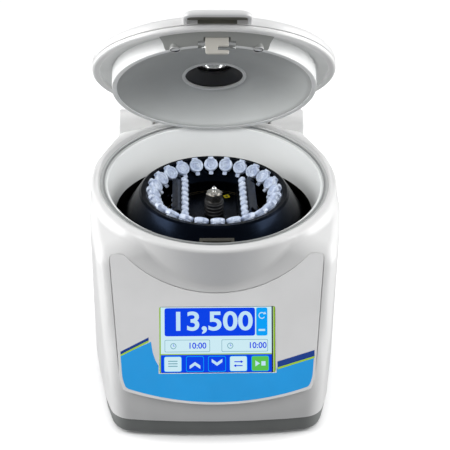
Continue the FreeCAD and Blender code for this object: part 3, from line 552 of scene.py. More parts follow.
def housing_rows(turns, rows, samples, inset, low_z, top):
    """Profiles of the housing at each azimuth, each eased to the same number of points."""
    reach, lean = polar_plan(turns)
    centre = 90.0
    rim_height = RIM_Z + top[0] * np.sin(turns) * tan(radians(RIM_TILT)) - top[1]
    first = np.arctan2(low_z - centre, reach - inset)
    last = np.arctan2(rim_height - centre, top[0])
    share = np.linspace(0, 1, samples)[:, None]
    angle = first * (1 - share) + last * share
    near, far = np.full(angle.shape, 20.0), np.full(angle.shape, 240.0)
    wide = np.broadcast_to(turns, angle.shape)
    for _ in range(24):
        middle = (near + far) / 2
        rho, z = middle * np.cos(angle), centre + middle * np.sin(angle)
        inside = housing_distance(wide, rho, z, reach, lean, inset) < 0
        near, far = np.where(inside, middle, near), np.where(inside, far, middle)
    rho, z = near * np.cos(angle), centre + near * np.sin(angle)
    heading = np.unwrap(np.arctan2(np.diff(z, axis=0), np.diff(rho, axis=0)), axis=0)
    bend = np.zeros_like(rho)
    bend[1:-1] = np.abs(np.diff(heading, axis=0))
    walk = np.zeros_like(rho)
    walk[1:] = np.cumsum(np.hypot(np.diff(rho, axis=0), np.diff(z, axis=0)) + 14 * bend[1:], axis=0)
    spots = np.linspace(0, 1, rows)
    return [np.stack([np.interp(spots * walk[-1, k], walk[:, k], line[:, k]) for k in range(len(turns))], 1)
            for line in (rho, z)]


def housing_shell():
    """Outer skin, mouth edge and inner skin of the housing as one closed form."""
    count, rows, samples = ((540, 130, 1000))
    turns = np.linspace(0, 2 * pi, count, endpoint=False)
    thick = HOUSING_WALL
    rho, z = housing_rows(turns, rows, samples, 0.0, SEAM_Z, (LEDGE_R + 0.8, 0.0))
    inner_rho, inner_z = housing_rows(turns, 30, 400, thick, SEAM_Z, (LEDGE_R, thick))
    rim = np.sin(turns) * tan(radians(RIM_TILT))
    edge = [(LEDGE_R + 0.25, 0.12), (LEDGE_R, 0.6), (LEDGE_R, thick - 0.3)]
    edge_rho = np.stack([np.full(count, r) for r, drop in edge])
    edge_z = np.stack([RIM_Z + r * rim - drop for r, drop in edge])
    all_rho = np.concatenate([rho, edge_rho, inner_rho[::-1]])
    all_z = np.concatenate([z, edge_z, inner_z[::-1]])
    points = np.stack([all_rho * np.cos(turns), all_rho * np.sin(turns), all_z], -1)
    return wrapped(points.transpose(1, 0, 2).tolist())


def panel_outline(margin):
    """Outline of the control panel as (x, up the slope): arched top, tapering sides, bowed foot."""
    top, low = PANEL_TOP_S + margin, PANEL_LOW_S
    half_top, half_low = PANEL_TOP_HALF + margin, PANEL_LOW_HALF + margin
    arch = bowed(half_top - 12, top, margin - 1, 40)
    foot = bowed(half_low - 3, -84 - margin, -97 - margin, 30)
    right = [(half_top, top), (half_low, low)]
    outline = arch + right + foot[::-1] + [(-x, s) for x, s in right[::-1]]
    ease = [0] * len(arch) + [8, 30, 7] + [0] * (len(foot) - 2) + [7, 30, 8]
    ease[0], ease[len(arch) - 1] = 9, 9
    return rounded(outline, ease, 8)


def bowed(half, end, middle, steps):
    """Arc through (-half, end), (0, middle) and (half, end), from left to right."""
    rise = end - middle
    radius = (half ** 2 + rise ** 2) / (2 * abs(rise))
    side = 1 if rise > 0 else -1
    spread = asin(half / radius)
    return [(radius * sin(t), middle + side * radius * (1 - cos(t)))
            for t in (spread * (2 * k / steps - 1) for k in range(steps + 1))]


def ear_form(side):
    """Rounded cover of the hinge on one side."""
    front, back = HINGE.y - EAR_R, REAR_Y - 0.35
    outline = arc(HINGE.y, HINGE.z, EAR_R, 180, 90, 14)
    outline += rounded([(REAR_Y - 12, 187.5), (back, 174), (back, 150), (front, 150)], [8, 8, 0, 0], 6)
    return side_prism(outline, *sorted((side * EAR_INNER_X, side * EAR_OUTER_X)))


def build_housing():
    """White upper housing with its cuts, and the covers of the hinge."""
    shell = piece("main_housing_shell", housing_shell(), "base", WHITE, ["main_housing"], 30)
    recess = carried(prism(panel_outline(0.7), -1.6, 9), SLOPE)
    window = carried(plate(SCREEN_W + 7, SCREEN_H + 6, 3, -9, -1.2, 0, SCREEN_S), SLOPE)
    bay = side_prism(rounded([(104, 158), (137, 158), (137, 172), (147, 172), (147, 215), (104, 215)],
                             [3, 3, 2, 0, 0, 0]), -58, 58)
    rear = block(-79, 79, REAR_Y - 8, REAR_Y + 6, 25, 111)
    cut_from(shell, [recess, window, bay, rear])
    shell.data.shade_smooth()
    shell.data.set_sharp_from_angle(angle=radians(30))
    for side, word in ((-1, "left"), (1, "right")):
        ear = piece("hinge_cover_" + word, ear_form(side), "base", WHITE, (), 50, 7.0, 7)
        ear.modifiers["Edges"].harden_normals = False


def build_base():
    """Dark base tray with a drawn-in foot and vents underneath."""
    outline = plan_outline()
    steps = ((6.5, 3.0), (3.2, 3.6), (2.2, 6.0), (1.5, 12.0), (1.5, 18.2), (2.1, 19.0), (5.5, 19.0),
             (5.5, 6.0), (8.0, 5.0))
    rings = [[(x * (1 - inset / hypot(x, y)), y * (1 - inset / hypot(x, y)), z) for x, y in outline]
             for inset, z in steps]
    tray = piece("base_tray", skinned(rings), "base", PLINTH_GREY, ["base_plinth"], 30)
    cut_from(tray, [joined([plate(4, 40, 1.9, 0, 10, 9 * k, 80) for k in range(-4, 5)])], 30)


# ---------------- control panel
def film(name, outline, material, low, high):
    """Thin printed or lit layer on the control panel."""
    return piece(name, carried(prism(outline, low, high), SLOPE), "base", material)


def slab(x0, x1, s0, s1, ease=0.0):
    """Rounded rectangle as (x, up the slope)."""
    return rounded([(x0, s0), (x1, s0), (x1, s1), (x0, s1)], ease, 5)


def build_panel():
    """Control panel with its printed colour fields."""
    body = carried(prism(panel_outline(0), -PANEL_THICK, 0), SLOPE)
    panel = piece("control_panel", body, "base", PANEL_SILVER, ["front_panel"], 35)
    cut_from(panel, [carried(plate(SCREEN_W, SCREEN_H, 1.5, -4, 2, 0, SCREEN_S), SLOPE)])
    finish_piece(panel, "base", PANEL_SILVER, (), 35, 0.35, 2)
    foot = [(x, s) for x, s in panel_outline(-PRINT_MARGIN) if s < -55]
    left = SCREEN_W / 2
    outer_left = side_of_panel(-54.5)
    foot_s = SCREEN_S - SCREEN_H / 2 - 0.4
    field = [(-left - 0.8, foot_s), (-left - 0.8, -63)]
    field += [(-left - 3.5, -58), (-left - 5.6, -52), (-left - 6.6, -46), (-left - 7.2, -42.2)]
    field += [(-outer_left, -54.0)]
    lower = [sorted([p for p in foot if (p[0] < 0) == on_left], key=lambda p: atan2(p[1] + 50, p[0]))
             for on_left in (True, False)]
    right = [(side_of_panel(-57.0), -57.0), (left + 0.8, -65.5), (left + 0.8, foot_s)]
    film("field_blue", field + lower[0] + lower[1] + right, INK_BLUE, 0.0, 0.06)
    for name, material, drop, thick in (("navy", INK_NAVY, 0.0, 2.6), ("lime", INK_LIME, 2.6, 1.5)):
        a, b = (-outer_left, -50.4 - drop), (-left - 9.2, -38.4 - drop)
        film("stripe_left_" + name, [a, (a[0], a[1] - thick), (b[0], b[1] - thick), b], material, 0.0, 0.09)
    for name, material, drop, thick in (("navy", INK_NAVY, 0.0, 5.2), ("lime", INK_LIME, 5.2, 1.6)):
        a, b = (left + 1.6, -60.2 - drop), (side_of_panel(-50), -50.6 - drop)
        film("stripe_right_" + name, [(a[0], a[1] - thick), (b[0], b[1] - thick), b, a], material, 0.0, 0.09)


def side_of_panel(s):
    """Half width of the panel's printed area at a height on the slope."""
    share = (s - PANEL_LOW_S) / (PANEL_TOP_S - PANEL_LOW_S)
    return PANEL_LOW_HALF + (PANEL_TOP_HALF - PANEL_LOW_HALF) * share - PRINT_MARGIN


def digits(name, text, size, x, s, material, bold=0.0, wide=1.0):
    """Plain numerals on the display, as a solid layer."""
    curve = bpy.data.curves.new(name, "FONT")
    curve.body = text
    curve.size = size * MM
    curve.offset = bold * MM
    curve.align_x = "CENTER"
    curve.align_y = "CENTER"
    curve.extrude = 0.03 * MM
    curve.resolution_u = 6
    written = show(name, curve)
    data = settled(written)
    bpy.data.objects.remove(written)
    spread = Matrix.Diagonal((wide, 1, 1, 1)) @ Matrix.Scale(1 / MM, 4)
    data.transform(WORLD @ SLOPE @ Matrix.Translation((x, s, SCREEN_TOP + 0.09)) @ spread)
    made = show(name, data)
    finish_piece(made, "base", material)


LIT_PALE = lit("lit_pale_cyan", (0.66, 0.90, 0.98), 0.92)
LIT_WHITE = lit("lit_white", (0.56, 0.80, 0.97), 0.95)
LIT_ROYAL = lit("lit_royal_blue", (0.001, 0.055, 0.84), 0.95)
LIT_SKY = lit("lit_sky_blue", (0.001, 0.37, 0.97), 0.95)
LIT_LINE = lit("lit_line_blue", (0.25, 0.60, 0.75), 0.6)
LIT_LIME = lit("lit_lime", (0.42, 0.72, 0.05), 0.7)
LIT_GREEN = lit("lit_green", (0.13, 0.66, 0.10), 0.8)


def on_screen(u, v):
    """Panel coordinates of a place on the display, from fractions of its width and height."""
    return -SCREEN_W / 2 + SCREEN_W * u, SCREEN_S + SCREEN_H / 2 - SCREEN_H * v


def sign(name, outline, material, low=0.09, high=0.12):
    """Flat shape on the display, between two heights above it."""
    film(name, outline, material, SCREEN_TOP + low, SCREEN_TOP + high)


def screen_box(name, u0, u1, v0, v1, material, lift, ease=0.0):
    """Rectangle on the display."""
    x0, s1 = on_screen(u0, v0)
    x1, s0 = on_screen(u1, v1)
    sign(name, slab(x0, x1, s0, s1, ease), material, lift, lift + 0.03)


def chevron(name, u, flip):
    """Up or down arrow of a button."""
    x, s = on_screen(u, 0.866)
    wide, tall = 4.6, 4.6 * 0.62 * flip
    low, high = s - tall * 0.5, s + tall * 0.62
    outline = [(x - wide, low), (x, high), (x + wide, low), (x + wide, low - tall), (x, high - tall),
               (x - wide, low - tall)]
    sign(name, outline, LIT_WHITE)


def build_screen():
    """Back-lit display with a generic speed and time page: numerals and plain icons only."""
    border = carried(plate(SCREEN_W - 0.3, SCREEN_H - 0.3, 1.2, -1.62, SCREEN_TOP - 0.05, 0, SCREEN_S), SLOPE)
    piece("screen_border", border, "base", DARK_GLASS)
    screen_box("page", 0.008, 0.985, 0.006, 0.994, LIT_PALE, -0.04)
    edges = (("lime_left", 0.0, 0.012, LIT_LIME), ("lime_right", 0.982, 0.996, LIT_LIME),
             ("dark_right", 0.968, 0.980, DARK_GLASS))
    for name, u0, u1, material in edges:
        screen_box("edge_" + name, u0, u1, 0.006, 0.994, material, 0.0)
    screen_box("speed_field", 0.045, 0.825, 0.02, 0.445, LIT_ROYAL, 0.0, 2.2)
    screen_box("unit_field", 0.835, 0.932, 0.02, 0.445, LIT_SKY, 0.0, 1.6)
    speed_x, speed_s = on_screen(0.452, 0.235)
    digits("numerals_speed", "13,500", 22.5, speed_x, speed_s, LIT_WHITE, 0.50, 1.16)
    for name, u0, u1, at in (("set", 0.045, 0.435, 0.325), ("left", 0.535, 0.935, 0.845)):
        screen_box("frame_" + name, u0, u1, 0.50, 0.685, LIT_LINE, -0.01, 1.2)
        screen_box("time_" + name, u0 + 0.004, u1 - 0.004, 0.507, 0.678, LIT_PALE, 0.02, 1.0)
        x, s = on_screen(at, 0.594)
        digits("numerals_" + name, "10:00", 7.2, x, s, LIT_ROYAL, 0.12)
        clock_x, clock_s = on_screen(u0 + 0.075, 0.594)
        sign("clock_rim_" + name, arc(clock_x, clock_s, 2.6, 90, 449, 36), LIT_LINE, 0.06, 0.08)
        sign("clock_face_" + name, arc(clock_x, clock_s, 2.0, 90, 449, 36), LIT_PALE, 0.08, 0.10)
        hands = (("hand", -0.2, 0.2, 0.0, 1.6), ("hour", 0.0, 1.2, -0.2, 0.2))
        for hand, x0, x1, s0, s1 in hands:
            outline = slab(clock_x + x0, clock_x + x1, clock_s + s0, clock_s + s1)
            sign("clock_%s_%s" % (hand, name), outline, LIT_ROYAL, 0.10, 0.12)
    screen_box("rule_lime", 0.012, 0.968, 0.712, 0.728, LIT_LIME, 0.01)
    screen_box("button_bar", 0.012, 0.968, 0.728, 0.994, LIT_ROYAL, 0.0)
    looks = (("list", 0.115, LIT_PALE), ("up", 0.305, LIT_ROYAL), ("down", 0.495, LIT_ROYAL),
             ("swap", 0.68, LIT_PALE), ("start", 0.868, LIT_GREEN))
    for name, u, material in looks:
        screen_box("button_edge_" + name, u - 0.077, u + 0.077, 0.748, 0.985, LIT_SKY, 0.02, 1.9)
        screen_box("button_" + name, u - 0.072, u + 0.072, 0.757, 0.976, material, 0.05, 1.6)
    chevron("arrow_up", 0.305, 1)
    chevron("arrow_down", 0.495, -1)
    for k in range(3):
        screen_box("list_line_%d" % k, 0.075, 0.155, 0.815 + 0.038 * k, 0.829 + 0.038 * k, LIT_LINE, 0.09)
    for k, (u0, u1) in enumerate(((0.645, 0.70), (0.66, 0.715))):
        screen_box("swap_line_%d" % k, u0, u1, 0.83 + 0.06 * k, 0.845 + 0.06 * k, LIT_ROYAL, 0.09)
    for k, (u, v, way) in enumerate(((0.712, 0.8375, 1), (0.648, 0.8975, -1))):
        x, s = on_screen(u, v)
        head = [(x - 1.2 * way, s - 1.3), (x + 1.0 * way, s), (x - 1.2 * way, s + 1.3)]
        sign("swap_head_%d" % k, head, LIT_ROYAL)
    x, s = on_screen(0.868, 0.866)
    sign("start_sign", [(x - 4.2, s - 2.6), (x - 0.2, s), (x - 4.2, s + 2.6)], LIT_WHITE)
    sign("stop_sign", slab(x + 1.0, x + 4.6, s - 1.9, s + 1.9), LIT_WHITE)
    x, s = on_screen(0.884, 0.14)
    sign("turn_sign", arc(x, s, 2.9, 30, 330, 30) + arc(x, s, 2.1, 330, 30, 30), LIT_WHITE, 0.05, 0.08)
    sign("turn_head", [(x + 1.2, s + 1.0), (x + 3.9, s + 1.2), (x + 2.6, s + 3.3)], LIT_WHITE, 0.05, 0.08)
    screen_box("unit_bar", 0.855, 0.912, 0.345, 0.375, LIT_WHITE, 0.05, 0.4)


# ---------------- chamber
def build_chamber():
    """Collar and its ledge, with the gap for the latch."""
    outline = [(BOWL_R, BOWL_TOP_Z, LEVEL), (MOUTH_R - 0.15, -LEDGE_DROP - 1.0, RIM),
               (MOUTH_R, -LEDGE_DROP - 0.25, RIM), (MOUTH_R + 0.35, -LEDGE_DROP + 0.02, RIM),
               (MOUTH_R + 1.6, -LEDGE_DROP + 0.1, RIM), (MOUTH_R + 2, -LEDGE_DROP - 3, RIM),
               (BOWL_R + 3, BOWL_TOP_Z, LEVEL)]
    ledge = [(MOUTH_R + 1.5, -LEDGE_DROP + 0.06, RIM), (LEDGE_R - 3.2, -2.3, RIM), (LEDGE_R - 1.4, -1.5, RIM),
             (LEDGE_R - 0.3, -0.7, RIM), (LEDGE_R - 0.3, -4.0, RIM), (MOUTH_R + 1.9, -LEDGE_DROP - 2.8, RIM)]
    latch_gap = block(-13, 13, HOOK_Y - 2.4, -84, RING_Z - 30, RING_Z + 8)
    # The ledge takes the darker grey as painted shade for its inward-sloping face.
    for name, form, material, replaces in (("collar", outline, COLLAR_WHITE, ["chamber_collar"]),
                                           ("collar_ledge", ledge, LEDGE_PAINTED_SHADE, ())):
        cut_from(piece(name, lathe(form), "base", material, replaces, 40), [latch_gap])


# ---------------- rotor
def cap_form():
    """Closed micro tube: body, collar, dished cap, tab and strap."""
    body = [(0, -38.5), (1.2, -38.3), (2.0, -37.2), (5.4, -20), (5.4, -3.9), (6.25, -3.6), (6.3, -2.9),
            (5.9, -2.6), (5.9, -2.3), (CAP_R - 0.15, -2.1), (CAP_R, -1.7), (CAP_R, 0.7), (CAP_R - 0.3, 1.25),
            (CAP_R - 0.9, 1.4), (CAP_R - 1.4, 1.15), (CAP_R - 1.9, 0.2), (CAP_R - 2.3, -0.2), (3.6, -0.3),
            (3.3, 0.15), (2.9, 0.2), (2.6, -0.35), (1.5, -0.8), (1.2, -0.45), (0.8, -0.4), (0, -0.9)]
    tube = lathe(body, 40, False)
    tab = plate(4.4, 4.2, 1.2, -2.3, -1.1, -CAP_R - 1.0, 0, 4)
    strap = [(CAP_R - 1.6, 0.6), (CAP_R + 0.7, 0.5), (CAP_R + 1.5, -0.2), (CAP_R + 1.6, -2.2),
             (CAP_R + 1.0, -3.6), (CAP_R - 1.2, -3.9), (CAP_R - 1.2, -3.2), (CAP_R + 0.5, -2.9),
             (CAP_R + 0.8, -2.1), (CAP_R + 0.7, -0.6), (CAP_R - 0.2, -0.1), (CAP_R - 1.6, -0.1)]
    return joined([tube, tab, carried(prism(strap, -2.5, 2.5), UPRIGHT)])


def build_tubes():
    """Ring of micro tubes and the two strips."""
    one = cap_form()
    lean = Matrix.Translation((TUBE_RING_R, 0, RING_Z)) @ turned(-45, "Y")
    ring = [carried(one, turned(CAP_PHASE + 360 / TUBE_COUNT * k, "Z") @ lean)
            for k in range(TUBE_COUNT)]
    piece("micro_tubes", joined(ring), "rotor", TUBE, ["sample_tubes"], 50)
    outline = [(0, -18), (1.0, -17.8), (1.4, -17.2), (3.1, -8), (3.1, -1.5), (3.75, -1.3), (3.9, -0.9),
               (3.9, -0.1), (3.5, 0.15), (3.5, 0.5), (3.3, 1.3), (2.6, 2.0), (1.6, 2.35), (0, 2.45)]
    small = lathe(outline, 28, False)
    web = plate(2.6, STRIP_PITCH * 7, 1.0, -0.9, 0.3)
    for side, word in ((-1, "left"), (1, "right")):
        tilt = turned(-45 * side, "Y")
        middle = Vector((side * STRIP_X, 0, RING_Z - 5))
        strip = [carried(small, Matrix.Translation(middle + Vector((0, STRIP_PITCH * (k - 3.5), 0))) @ tilt)
                 for k in range(8)]
        strip.append(carried(web, Matrix.Translation(middle) @ tilt))
        made = piece("strip_" + word, joined(strip), "rotor", TUBE, (), 50)
        if side == 1:
            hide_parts("tube_strips")


def build_rotor():
    """Rotor and its clamp."""
    z = RING_Z
    floor = z - ROTOR_DEPTH
    ribs = [(4.02, floor), (8.4, floor)]
    for k in range(4):
        low = floor + 3.5 * k
        ribs += [(9.0, low + 0.3), (9.15, low + 1.0), (9.0, low + 1.8), (8.4, low + 2.2), (7.7, low + 2.5),
                 (7.6, low + 2.9), (7.9, low + 3.3)]
    ribs += [(8.9, z - 9.2), (8.6, z - 9), (4.02, z - 9)]
    piece("clamp_grip", lathe(ribs, 72), "rotor", BLACK, ["clamp_post"], 50)
    sides = rounded(arc(0, 0, 8.0, 12, 312, 5), 0.8, 3)
    nut = piece("clamp_nut_hex", prism(sides, z - 9, z - 1.2), "rotor", STEEL, ["clamp_nut"], 30)
    cut_from(nut, [block(-9, 9, -0.8, 0.8, z - 3.2, z + 3), disc(2.3, z - 7, z + 3)])
    finish_piece(nut, "rotor", STEEL, (), 30, 0.4, 3)
    washer = [(2.4, z - 1.25), (6.2, z - 1.25), (6.0, z - 0.2), (5.2, z + 0.4), (2.4, z + 0.4)]
    piece("nut_collar", lathe(rounded(washer, 0.3, 3), 60), "rotor", STEEL)
    pin = [(0, z - 8.8), (1.8, z - 8.8), (1.8, z + 0.4), (1.5, z + 0.9), (1.35, z + 1.2)]
    pin += arc(0, z + 2.8, 2.3, -45, 81, 14) + [(0, z + 5.1)]
    piece("pin_ball", lathe(pin, 36, False), "rotor", BRIGHT, ["lock_pin"], 50)
    label_low, label_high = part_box("balance_label")
    spot = (label_low + label_high) / 2 / MM
    turn = Matrix.Translation((spot.x, spot.y - AXIS_Y / MM, 0)) @ turned(20, "Z")
    label = carried(plate(5.6, 5.6, 1.0, floor + 0.02, floor + 0.25), turn)
    piece("balance_sticker", label, "rotor", YELLOW, ["balance_label"])
    piece("balance_mark", carried(disc(1.5, floor + 0.2, floor + 0.3), turn), "rotor", RUBBER)
    for name, radius, wide in (("outer", 44.0, 0.35), ("inner", 41.2, 0.2)):
        ring = lathe([(radius - wide, floor - 0.05), (radius + wide, floor - 0.05),
                      (radius + wide, floor + 0.06), (radius - wide, floor + 0.06)], 180)
        piece("floor_ring_" + name, ring, "rotor", OLD_GOLD)


# ---------------- lid
def lid_piece(name, form, material, place, replaces=(), sharp=40, bevel=0.0):
    """A piece of the lid, from a form drawn in one of its planes."""
    return piece(name, carried(form, place), "lid", material, replaces, sharp, bevel)


def liner(name, form, material, place=OPEN, replaces=(), sharp=40, bevel=0.0):
    """A piece of the lid's inner side."""
    return lid_piece(name, form, material, place, replaces, sharp, bevel)


def crown_z(r):
    """Height of the lid's dome at a radius."""
    return CROWN_EDGE_H + (DOME_H - CROWN_EDGE_H) * (1 - (r / CROWN_R) ** 2)


def bowl_z(r):
    """Height of the lid's bowl at a radius."""
    return RING_Z + BOWL_RISE * (1 - ((r - SIGHT_HOLE_R) / (BOWL_EDGE_R - SIGHT_HOLE_R)) ** 2)


def build_lid():
    """Lid: domed cover, lip, recess, ring wall, bowl, latch platform and wells."""
    crown = [(r, crown_z(r)) for r in (CROWN_R * k / 20 for k in range(21))]
    edge = [(107.6, 13.55), (109.0, 12.7), (110.2, 11.4), (110.8, 9.8), (LID_R, 8.2),
            (LID_R, LID_SEAM_H + 0.5), (LID_R - 0.35, LID_SEAM_H + 0.1), (LID_R - 2.4, LID_SEAM_H + 0.1),
            (LID_R - 2.5, 8.0), (104, 11.2)]
    inner = [(r, crown_z(r) - LID_WALL) for r in (95, 80, 65, 50, 35, 20, 0.0)]
    cover = lid_piece("lid_cover", lathe(crown + edge + inner, None, False), LID_WHITE, LID_RIM,
                      ["lid_outer_shell"])
    hinge_gap = carried(block(-46.5, 46.5, HINGE.y - 13.5, HINGE.y + 12, HINGE.z - 12, HINGE.z + 22), OPEN)
    cut_from(cover, [hinge_gap, carried(disc(WINDOW_R + 1.9, 4, 40, steps=72), LID_RIM)])

    low = LIP_CLEARANCE - LID_GAP
    lip = rounded([(LIP_INNER_R, 5.9), (LIP_INNER_R, low), (LID_R - 2.2, low), (LID_R - 0.5, low + 0.8),
                   (LID_R, 3.2), (LID_R, LID_SEAM_H - 0.5), (LID_R - 2.8, LID_SEAM_H - 0.4),
                   (LID_R - 3.0, 6.0)], [0.3, 0.9, 1.8, 1.2, 0.6, 0.5, 0.2, 0.3], 4)
    cut_from(lid_piece("lid_lip", lathe(lip), LID_WHITE, LID_RIM), [hinge_gap])

    z = RING_Z
    recess = [(RING_WALL_R - 1.5, z + 9, OPEN), (RING_WALL_R - 1.5, 4.6, LID_RIM),
              (LIP_INNER_R - 0.8, 4.2, LID_RIM), (LIP_INNER_R + 0.1, 3.6, LID_RIM),
              (LIP_INNER_R + 0.1, 6.0, LID_RIM), (89.5, 6.0, LID_RIM), (89.5, z + 11, OPEN)]
    cut_from(liner("lid_recess", lathe(recess), INNER_GREY, LEVEL), [hinge_gap])

    hole, flat = SIGHT_HOLE_R, BOWL_EDGE_R
    wall = [(flat, z + 0.9), (flat + 0.25, z + 0.3), (flat + 0.9, z), (RING_WALL_R - 0.8, z),
            (RING_WALL_R - 0.2, z + 0.25), (RING_WALL_R, z + 0.9), (RING_WALL_R, z + 16),
            (flat + 0.8, z + 16), (flat - 2.0, z + 8)]
    block_room = carried(block(-15.8, 15.8, -99, -84, z - 3, z + 3), OPEN)
    above = carried(disc(130, 6.0, 60, steps=72), LID_RIM)
    cut_from(liner("lid_ring_wall", lathe(wall), RING_GREY), [hinge_gap, block_room, above])

    spots = [hole + (flat - hole) * (k / 24) for k in range(25)]
    top = bowl_z(hole)
    bowl = [(hole + 0.5, top + 2.0), (hole + 0.02, top + 1.6)] + [(r, bowl_z(r)) for r in spots[:-1]]
    bowl += [(flat + 0.3, z + 1.0), (flat + 0.3, z + 3.2)] + [(r, bowl_z(r) + 2.2) for r in spots[-2:1:-1]]
    cut_from(liner("lid_bowl", lathe(bowl), BOWL_GREY, OPEN, ["lid_liner"]), [block_room])
    bead = rounded([(hole - 0.6, top + 1.4), (hole - 0.6, top - 0.9), (hole + 2.2, top - 0.9),
                    (hole + 2.6, top + 0.4), (hole + 2.0, top + 1.4)], 0.7, 4)
    liner("sight_hole_bead", lathe(bead), INNER_GREY)

    platform = [(RING_WALL_R - 0.4, z + 0.3), (95, z + 1.2), (97.5, z + 4.8), (LIP_INNER_R + 0.4, z + 8.0)]
    # Painted shade: the platform is coloured dark grey for the shade by the latch hook.
    deck = liner("latch_platform", arc_sector(platform, z + 11.5, 27.5), DECK_PAINTED_SHADE, OPEN, (), 50)
    hook_slot = carried(block(-11.2, 11.2, HOOK_Y - 1.8, HOOK_Y + 1.8, z - 2, z + 14), OPEN)
    wells = [carried(disc(WELL_R, z - 6, z + 7, x, WELL_Y, 36), OPEN) for x in (-WELL_X, WELL_X)]
    cut_from(deck, [hook_slot, block_room, above] + wells)
    tower = [(WELL_R, z + 6), (WELL_R, z - 0.2), (4.75, z - 0.2), (4.75, z + 6)]
    tower = rounded(tower, [0.1, 0.2, 0.3, 0.1], 3)
    bead = [(4.1, z + 0.2), (4.1, z - 0.55), (4.7, z - 0.55), (4.7, z + 0.2)]
    bead = rounded(bead, [0.1, 0.3, 0.3, 0.1], 4)
    # Painted shade: the black sleeve and plug in each well stand for the shade inside it, not for black
    # parts.
    sleeve = [(3.8, z - 0.4), (4.12, z - 0.4), (4.12, z + 4.1), (3.8, z + 4.1)]
    plug = [(0, z + 1.4), (0.9, z + 1.3), (3.85, z + 1.0), (3.85, z + 4.1), (0, z + 4.1)]
    for x, word in ((-WELL_X, "left"), (WELL_X, "right")):
        spot = OPEN @ Matrix.Translation((x, WELL_Y, 0))
        for name, outline, material in (("tower", tower, DECK_PAINTED_SHADE), ("rim", bead, LID_WHITE),
                                        ("sleeve", sleeve, BLACK), ("plug", plug, BLACK)):
            liner("well_%s_%s" % (name, word), lathe(outline, 40, name != "plug"), material, spot, (), 50)


def arc_sector(points, back, half, steps=40):
    """Form swept half degrees either way of the front from (radius, height) points, closed behind."""
    outline = points + [(points[-1][0], back), (points[0][0], back)]
    turns = [radians(half - 90 - 2 * half * k / steps) for k in range(steps + 1)]
    return skinned([[(r * cos(turn), r * sin(turn), h) for r, h in outline] for turn in turns])


def build_hook():
    """Stamped C-shaped hook."""
    z, half = RING_Z, HOOK_HALF
    outline = [(-half, z + 15), (-half, z - 9.5), (half, z - 9.5), (half, z - 6.2), (0.5, z - 6.2),
               (0.5, z - 2.4), (half, z - 2.4), (half, z + 15)]
    shape = prism(rounded(outline, [0, 2.6, 2.2, 1.1, 0.9, 0.9, 1.3, 0], 6), -1.2, 1.2)
    hook = carried(shape, OPEN @ Matrix.Translation((0, HOOK_Y, 0)) @ UPRIGHT)
    piece("latch_hook_plate", hook, "lid", HOOK_CREAM, ["latch_hook"], 40, 0.45, 3)


def build_handle():
    """Arched grip with a finger recess on the lid's front edge."""
    half = GRIP_W / 2
    steps = [(1.0, GRIP_LOW + 0.05), (0.45, GRIP_LOW + 0.3), (0.1, GRIP_LOW + 0.8), (0.0, GRIP_LOW + 2.2),
             (0.2, GRIP_TOP - 2.3), (0.8, GRIP_TOP - 1.3), (1.7, GRIP_TOP - 0.55), (3.0, GRIP_TOP - 0.15),
             (4.0, GRIP_TOP - 0.05)]
    rings = []
    for inset, z in steps:
        side, front = half - 1.5 * inset, -LID_R - GRIP_REACH + 0.9 * inset
        ring = rounded([(-side, -104), (-side, front + 1.2), (-side + 18, front), (side - 18, front),
                        (side, front + 1.2), (side, -104)], [0, 9, 8, 8, 9, 0], 8)
        rings.append([(x, y, z) for x, y in ring])
    grip = lid_piece("handle_grip", skinned(rings), LID_WHITE, LID_RIM, ["lid_handle"])
    side, front = half - 3.4, -LID_R - GRIP_REACH + 3.6
    room = rounded([(-side, -LID_R + 0.6), (-side, front + 0.8), (-side + 8, front), (side - 8, front),
                    (side, front + 0.8), (side, -LID_R + 0.6)], [0, 4.2, 8, 8, 4.2, 0], 6)
    web_z = GRIP_TOP - GRIP_WEB
    cut_from(grip, [carried(form, LID_RIM)
                    for form in (prism(room, -4, web_z), disc(LID_R - 0.4, -5, 40, steps=72))])
    finish_piece(grip, "lid", LID_WHITE, (), 40, 0.4, 2)
    grip.modifiers["Edges"].harden_normals = False
    # Painted shade: dark olive sheets on the pocket's ceiling and back wall stand for the shade inside the
    # finger pocket.
    painted_shade_outline = [(x * 0.985, -LID_R - 0.6 + (y + LID_R) * 0.93) for x, y in room]
    liner("handle_pad", prism(painted_shade_outline, web_z - 0.8, web_z + 0.1), GRIP_POCKET_PAINTED_SHADE, LID_RIM, (), 40, 0.3)
    back = arc_sector([(LID_R + 0.05, GRIP_LOW + 0.2), (LID_R + 0.6, GRIP_LOW + 0.2)], web_z, 12.7)
    liner("handle_back_pad", back, GRIP_POCKET_PAINTED_SHADE, LID_RIM)


# ---------------- inner and rear parts
def build_inside():
    """Materials of the nodes that keep their CAD shape."""
    looks = ((STEEL, "latch_bolt motor_shaft liner_screws hinge_pins friction_sleeves board_pillars"),
             (STEEL, "motor_bearings board_standoffs"),
             (PANEL_STEEL, "guard_ring display_module mount_plate motor_posts rear_panel"),
             (DARK_STEEL, "motor_housing latch_motor fan_grille"),
             (BLACK, "window_well fan_frame fan_impeller power_inlet fuse_drawer switch_frame switch_rocker"),
             (RUBBER, "shaft_seal rubber_feet motor_dampers"), (SEAL_GREY, "lid_seal"),
             (BOWL_STEEL, "chamber_bowl"), (LATCH_BROWN, "latch_receiver"), (ANODISED, "rotor_body"),
             (CLEAR, "lid_window"), (BRIGHT, "window_bezel"), (INNER_GREY, "lid_bracket hinge_bay_floor"),
             (DARK_GLASS, "touch_glass"), (BOARD_GREEN, "control_board power_board"))
    for material, names in looks:
        for name in names.split():
            shown = frame["nodes"][name]
            shown.data.materials.clear()
            shown.data.materials.append(material)


